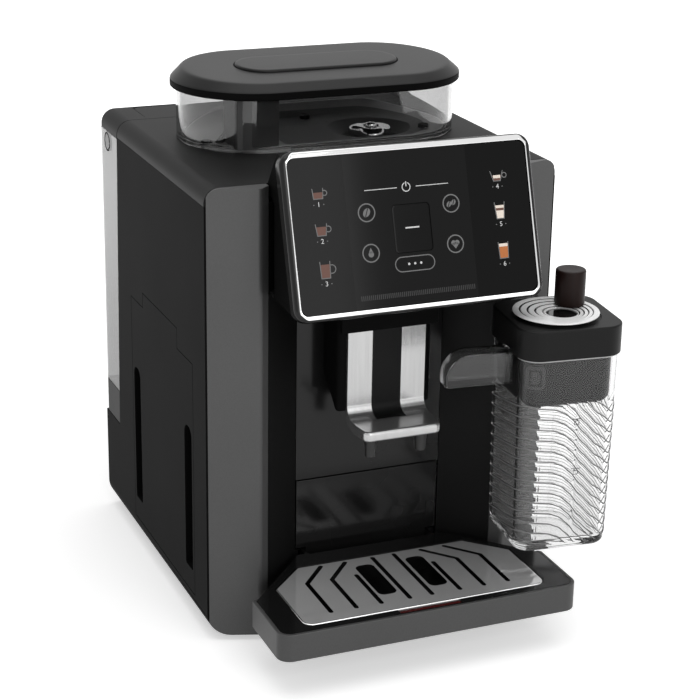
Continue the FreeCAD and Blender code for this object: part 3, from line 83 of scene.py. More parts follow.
def length(name, description, millimetres):
    """Length property with its default given in millimetres."""
    return FloatProperty(name=name, description=description, default=millimetres * MM, unit="LENGTH",
                         precision=5)


def angle(name, description, degrees):
    """Angle property with its default given in degrees."""
    return FloatProperty(name=name, description=description, default=math.radians(degrees), subtype="ANGLE")


class MachineColours(bpy.types.PropertyGroup):
    """Colours of the finishes."""
    body: colour("Body", "Satin black of the case", "0f0f0f")
    lid: colour("Lids", "Satin black of the hopper's and the jug's lid", "111111")
    column: colour("Columns", "Grey metallic paint of the columns and the tray's band", "505050")
    gloss: colour("Gloss", "Glossy black of the bay and the tray's rim", "151515")
    panel: colour("Panel", "Dark glass of the control panel", "080808")
    panel_middle: colour("Panel middle", "Paler middle zone of the control panel", "121212")
    chrome: colour("Chrome", "Bright plating", "e6e6e6")
    scoop: colour("Scoop", "Plating of the coffee spout", "b6b6b6")
    steel: colour("Steel", "Polished drip grid", "d8d8d8")
    insert: colour("Insert", "Dark grey of the jug's insert and the tank's base", "181818")
    bowl_floor: colour("Hopper floor", "Grey of the hopper floor's left end and rim", "909090")
    smoke: colour("Smoke", "Tint of the milk spout", "d6d6d6")
    handle: colour("Handle", "Brown-black of the froth dial's handle", "170c0a")
    mark: colour("Marks", "Pale print on the panel", "d0d0d0")
    dim_mark: colour("Dim marks", "Unlit print on the panel", "6a6a6a")
    coffee: colour("Coffee", "Coffee in the printed cups", "5a3426")
    milk: colour("Milk", "Milk and foam in the printed cups", "e9ddd0")
    caramel: colour("Caramel", "Milk coffee in the printed glass", "b4672a")
    red: colour("Float", "Red of the tray's float", "4a1212")
    floor: colour("Floor", "Studio floor", "f0f0f0")


class MachineSizes(bpy.types.PropertyGroup):
    """Sizes and turns of the details."""
    panel_lean: angle("Panel lean", "How far the control panel leans back", 18.0)
    jug_turn: angle("Jug turn", "Turn of the jug on the machine", -6.0)
    edge: length("Edge rounding", "Rounding of the case's edges", 0.45)
    front_edge: length("Front edge", "Rounding of the side panels' front edges", 2.2)
    bezel_round: length("Bezel rounding", "Rounding of the chrome bezel's outer edge", 3.0)
    lid_shoulder: length("Lid shoulder", "Width of the hopper lid's sloping shoulder", 8.0)
    lid_lean: angle("Lid lean", "Slope of the hopper lid's top, down to the front", 3.0)
    rib_pitch: length("Rib pitch", "Height between the jug's ribs", 7.2)
    rib_height: length("Rib height", "How far the jug's ribs stand out", 0.6)
    spout_bend: length("Spout bend", "Hollow bend of the chrome spout", 8.0)
    print_rise: length("Print rise", "Thickness of the panel's print", 0.05)
    lens: FloatProperty(name="Lens", description="Focal length of the camera in millimetres", default=98.07)
    grain: IntProperty(name="Grain", description="Fineness of the moulded grain, in grains per metre",
                       default=2600)


class Link:
    """One output of a shader node. Arithmetic on it adds Math nodes to its tree."""

    def __init__(self, tree, socket):
        self.tree = tree
        self.socket = socket

    def __add__(self, other):
        return self.tree.maths("ADD", self, other)

    __radd__ = __add__

    def __sub__(self, other):
        return self.tree.maths("SUBTRACT", self, other)

    def __rsub__(self, other):
        return self.tree.maths("SUBTRACT", other, self)

    def __mul__(self, other):
        return self.tree.maths("MULTIPLY", self, other)

    __rmul__ = __mul__

    def __gt__(self, other):
        return self.tree.maths("GREATER_THAN", self, other)

    def __lt__(self, other):
        return self.tree.maths("LESS_THAN", self, other)


class Tree:
    """Node tree of one material or of the world."""

    def __init__(self, owner):
        owner.use_nodes = True
        self.nodes = owner.node_tree.nodes
        self.links = owner.node_tree.links
        self.nodes.clear()

    def node(self, kind, settings=None, inputs=None, out=0):
        """Any node: its settings are set first, then the values or links of its sockets."""
        made = self.nodes.new(kind)
        for key, value in (settings or {}).items():
            setattr(made, key, value)
        for key, value in (inputs or {}).items():
            if isinstance(value, Link):
                self.links.new(value.socket, made.inputs[key])
            else:
                made.inputs[key].default_value = value
        return Link(self, made.outputs[out]) if made.outputs else None

    def maths(self, operation, first, second):
        """Math node on two values."""
        return self.node("ShaderNodeMath", {"operation": operation}, {0: first, 1: second})

    def mix(self, share, first, second):
        """Colour between two colours."""
        return self.node("ShaderNodeMix", {"data_type": "RGBA"}, {0: share, 6: first, 7: second}, out=2)

    def point(self):
        """Place on the piece, in metres of the shared frame."""
        return self.node("ShaderNodeTexCoord", out="Object")

    def noise(self, scale, detail=2.0, stretch=(1, 1, 1)):
        """Soft noise of a scale per metre, drawn out along an axis by a small stretch value."""
        spread = self.node("ShaderNodeMapping", None, {"Vector": self.point(), "Scale": stretch})
        return self.node("ShaderNodeTexNoise", None, {"Vector": spread, "Scale": scale, "Detail": detail})

    def cells(self, scale):
        """Random value in each small cell."""
        flakes = self.node("ShaderNodeTexVoronoi", None, {"Vector": self.point(), "Scale": scale}, "Color")
        return self.node("ShaderNodeSeparateColor", None, {0: flakes})

    def bump(self, height, distance, strength=1.0):
        """Normal raised by a height value, over a distance in metres."""
        values = {"Height": height, "Distance": distance, "Strength": strength}
        return self.node("ShaderNodeBump", None, values)


def finish(name, paint):
    """New material, with its shader given by a function of its node tree."""
    material = bpy.data.materials.new(name)
    tree = Tree(material)
    tree.node("ShaderNodeOutputMaterial", None, {"Surface": paint(tree)})
    return material


def rgba(shade, share=1.0):
    """Colour of a property with full alpha, made darker or brighter by a share."""
    return tuple(min(1.0, c * share) for c in shade) + (1.0,)


def principled(tree, values):
    """Main shader with the given sockets."""
    return tree.node("ShaderNodeBsdfPrincipled", None, values)


def moulded(tree, shade, rough, specular, grain, depth=0.00004):
    """Satin plastic: fine moulded grain, slight mottling and uneven gloss."""
    broad = tree.noise(22, 3)
    fine = tree.noise(grain, 2)
    return principled(tree, {
        "Base Color": tree.mix(broad, rgba(shade, 0.86), rgba(shade, 1.14)),
        "Roughness": rough - 0.05 + fine * 0.06 + broad * 0.05,
        "Specular IOR Level": specular,
        "Normal": tree.bump(fine, depth, 0.5)})


def metallic_paint(tree, shade, share, metal):
    """Grey paint with fine bright flakes under a thin clear coat."""
    flakes = tree.cells(4200)
    tone = flakes * 0.6 + tree.noise(14, 2) * 0.4
    return principled(tree, {
        "Base Color": tree.mix(tone, rgba(shade, 0.82 * share), rgba(shade, 1.22 * share)),
        "Metallic": metal,
        "Roughness": 0.4 + flakes * 0.1,
        "Specular IOR Level": 0.2,
        "Coat Weight": 0.05,
        "Coat Roughness": 0.3,
        "Normal": tree.bump(flakes, 0.00001, 0.3)})


def polished(tree, shade, rough, specular=0.5):
    """Glossy moulding or dark glass with faint wipe marks."""
    wipes = tree.noise(60, 4, (1, 0.2, 1))
    return principled(tree, {
        "Base Color": tree.mix(tree.noise(18, 2), rgba(shade, 0.85), rgba(shade, 1.15)),
        "Roughness": rough + wipes * 0.03,
        "Specular IOR Level": specular})


def plated(tree, shade, rough, metal=1.0):
    """Bright plating or polished sheet with faint hairline marks."""
    hairlines = tree.noise(900, 3, (0.04, 1, 1))
    return principled(tree, {
        "Base Color": tree.mix(tree.noise(30, 2), rgba(shade, 0.94), rgba(shade, 1.04)),
        "Metallic": metal,
        "Roughness": rough + hairlines * 0.03})


def brushed(tree, shade, rough, stretch, metal=1.0):
    """Metal with a grain that runs one way."""
    lines = tree.noise(700, 4, stretch)
    return principled(tree, {
        "Base Color": tree.mix(lines, rgba(shade, 0.85), rgba(shade, 1.1)),
        "Metallic": metal,
        "Roughness": rough - 0.05 + lines * 0.1,
        "Normal": tree.bump(lines, 0.00001, 0.25)})


def see_through(tree, shade, rough, shadow, bend, edge):
    """Clear or smoky plastic, darker seen edge on, with a share of the light let through its shadow."""
    haze = tree.noise(45, 3)
    facing = tree.node("ShaderNodeLayerWeight", None, {"Blend": 0.5}, out="Facing")
    clear = tree.mix(haze, rgba(shade, 0.97), rgba(shade, 1.0))
    body = principled(tree, {
        "Base Color": tree.mix(tree.maths("POWER", facing, 3.0), clear, rgba(shade, edge)),
        "Roughness": rough + haze * 0.015,
        "IOR": bend,
        "Transmission Weight": 1.0})
    passing = tree.node("ShaderNodeBsdfTransparent", None, {"Color": rgba(shade, 0.95)})
    shaded = tree.node("ShaderNodeLightPath", out="Is Shadow Ray")
    return tree.node("ShaderNodeMixShader", None, {0: shaded * shadow, 1: body, 2: passing})


def frosted(tree, shade, passed, share):
    """Matt share over a dark see-through rest: a smoky part, or painted shade lines and a painted highlight
    on clear plastic.
    """
    cover = tree.noise(900, 2)
    matt = principled(tree, {
        "Base Color": tree.mix(cover, rgba(shade, 0.85), rgba(shade, 1.1)),
        "Roughness": 0.5 + cover * 0.1})
    passing = tree.node("ShaderNodeBsdfTransparent", None, {"Color": rgba(passed)})
    return tree.node("ShaderNodeMixShader", None, {0: share, 1: passing, 2: matt})


def printed(tree, shade, rough=0.5):
    """Ink with a slightly uneven cover."""
    cover = tree.noise(1500, 2)
    return principled(tree, {
        "Base Color": tree.mix(cover, rgba(shade, 0.88), rgba(shade, 1.1)),
        "Roughness": rough + cover * 0.1})


def panel_glass_paint(tree, colours):
    """Dark glass whose middle zone is a little paler, with faint wipe marks."""
    apart = tree.node("ShaderNodeSeparateXYZ", None, {0: tree.point()}, out=0)
    middle = MACHINE.translation.x
    zone = (apart > middle - 43.5 * MM) * (apart < middle + 38.0 * MM)
    wipes = tree.noise(35, 4, (1, 0.3, 0.3))
    return principled(tree, {
        "Base Color": tree.mix(zone, rgba(colours.panel), rgba(colours.panel_middle)),
        "Roughness": 0.05 + wipes * 0.06,
        "Specular IOR Level": 0.12})


def grained_brown(tree, shade):
    """Brown-black handle with a faint upright grain."""
    grain = tree.noise(320, 4, (1, 1, 0.06))
    return principled(tree, {
        "Base Color": tree.mix(grain, rgba(shade, 0.6), rgba(shade, 1.7)),
        "Roughness": 0.34 + grain * 0.14,
        "Specular IOR Level": 0.12,
        "Normal": tree.bump(grain, 0.00004, 0.4)})


def board_paint(tree):
    """Green circuit board with fine tracks."""
    tracks = tree.noise(420, 1, (1, 0.12, 0.12))
    return principled(tree, {
        "Base Color": tree.mix(tracks > 0.52, rgba(linear("12301d")), rgba(linear("24573a"))),
        "Roughness": 0.45 + tracks * 0.1})


def make_finishes(colours, grain):
    """Every material of the machine, by name: its painter and what that is given."""
    finishes = {
        "satin_black": (moulded, colours.body, 0.56, 0.02, grain),
        "satin_top": (moulded, colours.body, 0.5, 0.12, grain),
        "satin_lid": (moulded, colours.lid, 0.36, 0.16, grain),
        "satin_jug": (moulded, colours.lid, 0.42, 0.14, grain),
        "floor_grey": (moulded, colours.bowl_floor, 0.36, 0.4, grain, 0.000006),
        "floor_black": (moulded, linear("646464"), 0.5, 0.2, grain, 0.000006),
        "dark_grey": (moulded, colours.insert, 0.42, 0.08, grain, 0.00001),
        "insert_grey": (moulded, colours.insert, 0.42, 0.08, 300, 0.000001),
        "inner_black": (moulded, colours.gloss, 0.55, 0.12, grain),
        "column_grey": (metallic_paint, colours.column, 1.0, 0.35),
        # The columns' grey paint made a tenth darker and a little less metallic for the tray's band; the
        # darkening is painted shade
        "band_grey_shaded": (metallic_paint, colours.column, 0.9, 0.25),
        "gloss_black": (polished, colours.gloss, 0.14, 0.25),
        "panel_glass": (panel_glass_paint, colours),
        "button_glass": (polished, colours.panel, 0.12, 0.12),
        "bright_chrome": (plated, colours.chrome, 0.03),
        "soft_chrome": (plated, colours.chrome, 0.16),
        "scoop_chrome": (brushed, colours.scoop, 0.22, (1, 1, 0.03), 0.82),
        "ring_metal": (brushed, linear("f6f6f6"), 0.3, (1, 1, 1), 0.05),
        "grid_steel": (plated, colours.steel, 0.04, 0.6),
        "cast_aluminium": (brushed, linear("b4b4b4"), 0.38, (1, 1, 0.05)),
        "motor_steel": (brushed, linear("8f8f8f"), 0.42, (1, 1, 0.05)),
        "brass": (brushed, linear("b59a5c"), 0.35, (1, 1, 0.05)),
        "clear_plastic": (see_through, linear("cccccc"), 0.0, 0.85, 1.48, 0.12),
        "tank_clear": (see_through, linear("a4a4a4"), 0.0, 0.85, 1.3, 0.3),
        "jug_clear": (see_through, linear("f4f4f4"), 0.0, 0.9, 1.34, 0.35),
        # Painted shade lines for the jug's rib flanks and inner floor edge, and a painted white highlight for
        # the top rims of the jug and the hopper floor
        "painted_shade_lines": (frosted, linear("c8c8c8"), linear("2c2c2c"), 0.37),
        "rim_line": (frosted, linear("f0f0f0"), linear("c0c0c0"), 0.8),
        "outlet_grey": (moulded, linear("2e2e2e"), 0.38, 0.3, grain),
        "tube_clear": (see_through, linear("fdfdfd"), 0.0, 0.9, 1.02, 1.0),
        "smoky_plastic": (see_through, colours.smoke, 0.02, 0.6, 1.35, 0.6),
        "dark_smoke": (frosted, linear("585858"), linear("909090"), 0.55),
        "soft_rubber": (moulded, linear("141414"), 0.8, 0.2, 900, 0.0001),
        "silicone": (moulded, linear("c9c9c4"), 0.5, 0.3, 1200),
        "circuit_board": (board_paint,),
        "float_red": (polished, colours.red, 0.25, 0.4),
        "handle_brown": (grained_brown, colours.handle),
        "mark": (printed, colours.mark),
        "dim_mark": (printed, colours.dim_mark),
        "faint_mark": (printed, linear("181818"), 0.35),
        "coffee": (printed, colours.coffee, 0.4),
        "milk": (printed, colours.milk, 0.4),
        "caramel": (printed, colours.caramel, 0.4),
        # Glossy black of the dial's well; also laid in the dial's grooves, round its neck and on the grid's
        # slot walls as painted shade
        "well_black_and_hollow_shade": (polished, colours.gloss, 0.06, 0.6),
    }
    for name, (paint, *values) in finishes.items():
        finish(name, lambda tree: paint(tree, *values))


def panel_frame(sizes):
    """From the panel's own frame (across, up its face, out of it) to the shared frame."""
    low, high = machine_box("panel_glass")
    lean = sizes.panel_lean
    thickness = 3.0
    centre = (low + high) / 2 + Vector((0, -math.cos(lean), math.sin(lean))) * thickness / 2
    return MACHINE @ Matrix.Translation(centre) @ Matrix.Rotation(math.pi / 2 - lean, 4, "X")


def jug_frame(sizes):
    """From the jug's own frame, unturned about its middle, to the shared frame."""
    low, high = machine_box("jug_lid")
    centre = (low + high) / 2
    return MACHINE @ move(centre.x, centre.y) @ Matrix.Rotation(sizes.jug_turn, 4, "Z")


def piece(name, bm, body, material, slot, replaces=(), place=MACHINE, sharp=32.0, even=False):
    """Object from a bmesh: placed by its mesh, shaded smooth up to an angle and riding on its CAD body."""
    bmesh.ops.transform(bm, matrix=place, verts=bm.verts)
    mesh = bpy.data.meshes.new(name)
    bm.to_mesh(mesh)
    bm.free()
    mesh.shade_smooth()
    mesh.set_sharp_from_angle(angle=math.radians(sharp))
    mesh.materials.append(bpy.data.materials[material])
    made = bpy.data.objects.new(name, mesh)
    bpy.context.scene.collection.objects.link(made)
    if even:
        normals = made.modifiers.new("even_shading", "WEIGHTED_NORMAL")
        normals.keep_sharp = True
    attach(made, body)
    if replaces:
        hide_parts(*replaces)
    return made


def merge(bm, other, place=None):
    """Add another bmesh to one, moved by a matrix."""
    if place is not None:
        bmesh.ops.transform(other, matrix=place, verts=other.verts)
    mesh = bpy.data.meshes.new("part")
    other.to_mesh(mesh)
    other.free()
    bm.from_mesh(mesh)
    bpy.data.meshes.remove(mesh)


def add_finishes(made, *names):
    """More materials for the faces of a piece that carry a higher index."""
    for name in names:
        made.data.materials.append(bpy.data.materials[name])


def dress(material, *nodes):
    """Give carried-over CAD nodes a finish."""
    for node in nodes:
        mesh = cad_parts[node].data
        mesh.materials.clear()
        mesh.materials.append(bpy.data.materials[material])


def soften(bm, edges, width, segments=2):
    """Round the given edges. Gives the new faces."""
    made = bmesh.ops.bevel(bm, geom=edges, offset=width, offset_type="OFFSET", affect="EDGES",
                           segments=segments, profile=0.5, material=-1, clamp_overlap=True)
    return made["faces"]


def edges_where(bm, test):
    """Edges whose two ends both pass a test of their place."""
    return [edge for edge in bm.edges if all(test(vert.co) for vert in edge.verts)]


def near(value, target):
    """True if two sizes are the same."""
    return abs(value - target) < FLAT * 50


def edges_at(bm, x, y):
    """Edges whose two ends both stand over one place."""
    return edges_where(bm, lambda co: near(co.x, x) and near(co.y, y))


def sharp_edges(bm, degrees):
    """Edges that turn by more than an angle."""
    return [edge for edge in bm.edges if edge.is_manifold and edge.calc_face_angle() > math.radians(degrees)]


def move(x, y, z=0.0):
    """Matrix of a shift."""
    return Matrix.Translation((x, y, z))


def softened(node, width, first=None, segments=2):
    """Copy of a CAD node with its sharp edges rounded. first may round or shift some of it before."""
    bm = bmesh.new()
    bm.from_mesh(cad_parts[node].data)
    bmesh.ops.transform(bm, matrix=TO_MACHINE, verts=bm.verts)
    bmesh.ops.remove_doubles(bm, verts=bm.verts, dist=FLAT * 2)
    bmesh.ops.dissolve_limit(bm, angle_limit=math.radians(0.4), verts=bm.verts, edges=bm.edges)
    if first:
        first(bm)
    soften(bm, sharp_edges(bm, 28), width, segments)
    bmesh.ops.dissolve_degenerate(bm, edges=bm.edges, dist=FLAT)
    return bm


def skin(name, node, body, material, slot, width, first=None, segments=2):
    """Piece made of a CAD node with its sharp edges rounded."""
    return piece(name, softened(node, width, first, segments), body, material, slot, [node], even=True)


def prism(corners, low, high):
    """Block over flat corners (x, y) between two heights."""
    bm = bmesh.new()
    face = bm.faces.new([bm.verts.new((x, y, low)) for x, y in corners])
    raise_face(bm, face, high - low)
    bmesh.ops.recalc_face_normals(bm, faces=bm.faces)
    return bm


def raise_face(bm, face, height):
    """Extrude one face along Z."""
    grown = bmesh.ops.extrude_face_region(bm, geom=[face])["geom"]
    verts = [part for part in grown if isinstance(part, bmesh.types.BMVert)]
    bmesh.ops.translate(bm, verts=verts, vec=(0, 0, height))


def block(low, high, width=0.3, segments=2):
    """Box between two corners with rounded edges."""
    bm = bmesh.new()
    bmesh.ops.create_cube(bm, size=1.0)
    size = Vector(high) - Vector(low)
    bmesh.ops.scale(bm, vec=size, verts=bm.verts)
    bmesh.ops.translate(bm, vec=(Vector(low) + Vector(high)) / 2, verts=bm.verts)
    if width:
        soften(bm, list(bm.edges), width, segments)
    return bm


# Turns an outline of Y and Z, raised along X, into the machine's frame
SIDEWAYS = Matrix(((0, 0, 1, 0), (1, 0, 0, 0), (0, 1, 0, 0), (0, 0, 0, 1)))
# Stands an outline of X and Z, raised to the front, upright
UPRIGHT = Matrix.Rotation(math.pi / 2, 4, "X")


def plan_ring(bm, width, depth, radius, steps, cuts):
    """Loop of edges round a rounded rectangle about the origin. Each vertex keeps its plan place."""
    plan = bm.verts.layers.float_vector.new("plan")
    count = 4 * steps
    verts = bmesh.ops.create_circle(bm, cap_ends=False, radius=radius, segments=count)["verts"]
    bmesh.ops.rotate(bm, verts=verts, cent=(0, 0, 0), matrix=Matrix.Rotation(math.pi / count, 3, "Z"))
    for vert in verts:
        vert.co.x += math.copysign(width / 2 - radius, vert.co.x)
        vert.co.y += math.copysign(depth / 2 - radius, vert.co.y)
    arc = 2 * radius * math.sin(math.pi / count)
    if cuts:
        straight = [edge for edge in bm.edges if edge.calc_length() > arc * 1.5]
        bmesh.ops.subdivide_edges(bm, edges=straight, cuts=cuts)
    for vert in bm.verts:
        vert[plan] = vert.co
    return list(bm.edges), plan


def outward(place, width, depth, radius):
    """Unit vector out of a rounded rectangle at a place on its edge."""
    along = width / 2 - radius
    across = depth / 2 - radius
    core = Vector((max(-along, min(along, place.x)), max(-across, min(across, place.y)), 0))
    return (Vector((place.x, place.y, 0)) - core).normalized()


def lift_ring(bm, ring, plan, set_place, material=0):
    """Extrude a ring of edges and place each new vertex by its plan place. Gives the new ring."""
    made = bmesh.ops.extrude_edge_only(bm, edges=ring)["geom"]
    verts = {part for part in made if isinstance(part, bmesh.types.BMVert)}
    for part in made:
        if isinstance(part, bmesh.types.BMFace):
            part.material_index = material
    for vert in verts:
        vert.co = set_place(vert[plan])
    return [part for part in made
            if isinstance(part, bmesh.types.BMEdge) and all(vert in verts for vert in part.verts)]


def stack(width, depth, radius, rows, steps=12, cuts=0, hole=False):
    """Body over a rounded rectangle, from rows of (inset, height). Capped, or with hole the ends meet."""
    bm = bmesh.new()
    ring, plan = plan_ring(bm, width, depth, radius, steps, cuts)

    def at(inset, height):
        def set_place(place):
            return place - outward(place, width, depth, radius) * inset + Vector((0, 0, height))
        return set_place

    start = at(*rows[0])
    for vert in bm.verts:
        vert.co = start(vert[plan])
    first = ring
    for inset, height in rows[1:]:
        ring = lift_ring(bm, ring, plan, at(inset, height))
    if hole:
        bmesh.ops.bridge_loops(bm, edges=first + ring)
    else:
        bmesh.ops.edgeloop_fill(bm, edges=first)
        bmesh.ops.edgeloop_fill(bm, edges=ring)
    bmesh.ops.remove_doubles(bm, verts=bm.verts, dist=FLAT)
    bmesh.ops.recalc_face_normals(bm, faces=bm.faces)
    return bm


def turned(radius, rows, steps=20, hole=False):
    """Round body from rows of (radius, height)."""
    return stack(2 * radius, 2 * radius, radius, [(radius - r, z) for r, z in rows], steps, 0, hole)


def quarter(start, end, count, bulge_first=True):
    """Rows of a quarter round between two rows: straight up first, or inwards first."""
    rows = []
    for i in range(1, count + 1):
        turn = math.pi / 2 * i / count
        if bulge_first:
            share = (1 - math.cos(turn), math.sin(turn))
        else:
            share = (math.sin(turn), 1 - math.cos(turn))
        rows.append((start[0] + (end[0] - start[0]) * share[0], start[1] + (end[1] - start[1]) * share[1]))
    return rows


class MachineOperator:
    """What the machine's operators share."""
    bl_options = {"REGISTER"}


class MACHINE_OT_finishes(MachineOperator, bpy.types.Operator):
    """Make every material of the machine."""
    bl_idname = "machine.finishes"
    bl_label = "Finishes"

    def execute(self, context):
        make_finishes(context.scene.machine_colours, context.scene.machine_sizes.grain)
        return {"FINISHED"}


class MACHINE_OT_case(MachineOperator, bpy.types.Operator):
    """Satin case: side panels, top, back, tank cover and panel housing, with soft edges."""
    bl_idname = "machine.case"
    bl_label = "Case"

    seam_share = 0.9

    def execute(self, context):
        sizes = context.scene.machine_sizes
        edge = sizes.edge / MM
        low, high = machine_box("left_side_panel")
        seam = machine_box("top_cover")[0].z - high.z
        half = -low.x

        def side(bm):
            """Close the seam under the top, then round the upright front edge."""
            rim = [vert for vert in bm.verts if near(vert.co.z, high.z)]
            bmesh.ops.translate(bm, verts=rim, vec=(0, 0, seam * self.seam_share))
            front = edges_where(bm, lambda co: near(co.y, low.y) and abs(co.x) > half - FLAT)
            soften(bm, front, sizes.front_edge / MM, 5)

        for node in ("left_side_panel", "right_side_panel"):
            skin(node + "_skin", node, "housing", "satin_black", "black", edge / 2, side)
        skin("top_skin", "top_cover", "housing", "satin_top", "black", edge / 2)
        skin("rear_skin", "rear_cover", "housing", "satin_black", "black", edge)
        skin("panel_back", "panel_housing", "housing", "satin_black", "black", edge * 2, None, 3)
        dress("inner_black", "base_frame", "bay_ceiling")
        return {"FINISHED"}


class MACHINE_OT_columns(MachineOperator, bpy.types.Operator):
    """Grey metallic columns beside the bay."""
    bl_idname = "machine.columns"
    bl_label = "Columns"

    def execute(self, context):
        edge = context.scene.machine_sizes.edge / MM
        for node in ("left_fascia", "right_fascia"):
            skin(node + "_skin", node, "housing", "column_grey", "grey", edge * 1.6, None, 3)
        return {"FINISHED"}


class MACHINE_OT_bay(MachineOperator, bpy.types.Operator):
    """Cup bay: satin side walls and glossy back."""
    bl_idname = "machine.bay"
    bl_label = "Cup bay"

    def execute(self, context):
        edge = context.scene.machine_sizes.edge / MM
        dress("satin_top", "bay_side_walls")
        dress("gloss_black", "bay_back_wall")
        skin("grounds_drawer", "grounds_container", "tray", "gloss_black", "black_gloss", edge)
        return {"FINISHED"}


class MACHINE_OT_door(MachineOperator, bpy.types.Operator):
    """Service door with its two finger grips."""
    bl_idname = "machine.door"
    bl_label = "Service door"

    def execute(self, context):
        edge = context.scene.machine_sizes.edge / MM
        skin("door_skin", "service_door", "door", "satin_black", "black", edge)
        return {"FINISHED"}


class MACHINE_OT_tank(MachineOperator, bpy.types.Operator):
    """Clear water tank with a dark base, its cover, filling flap and side bosses."""
    bl_idname = "machine.tank"
    bl_label = "Water tank"

    boss_radius = 7.0
    boss_y = 215.5
    boss_sunk = 3.4
    seam = 293.4

    def execute(self, context):
        edge = context.scene.machine_sizes.edge / MM
        low, high = machine_box("water_tank")
        seam = self.seam - high.z

        def raise_edge(bm):
            """Lift the seam between the clear wall and the cover to the case's own seam."""
            rim = [vert for vert in bm.verts if near(vert.co.z, high.z)]
            bmesh.ops.translate(bm, verts=rim, vec=(0, 0, seam))

        skin("tank_wall", "water_tank", "tank", "tank_clear", "clear", edge * 1.4, raise_edge, 3)
        skin("tank_foot", "tank_base", "tank", "dark_grey", "smoke", edge)
        skin("tank_top", "tank_cover", "tank", "satin_top", "black", edge, raise_edge)
        skin("filling_flap", "tank_flap", "flap", "satin_top", "black", edge)
        r = self.boss_radius
        sunk = self.boss_sunk
        ring = [(r, -sunk), (r, -0.2), (r - 0.3, 0.1), (r - 1.5, 0.1), (r - 1.8, -0.3), (r - 1.8, -sunk)]
        hub = [(r - 2.0, -sunk), (r - 2.0, -1.2), (r - 2.3, -0.9), (r - 3.4, -0.9), (r - 3.8, -1.6),
               (r - 5.2, -1.6)]
        bosses = bmesh.new()
        hubs = bmesh.new()
        for side, x in ((-1, low.x), (1, high.x)):
            turn = move(x, self.boss_y, self.seam - r - 0.8) @ Matrix.Rotation(side * math.pi / 2, 4, "Y")
            merge(bosses, turned(r, ring, 20, True), turn)
            merge(hubs, turned(r - 2.0, hub, 16), turn)
        piece("tank_bosses", bosses, "tank", "satin_black", "black")
        piece("tank_hubs", hubs, "tank", "dark_grey", "black")
        return {"FINISHED"}


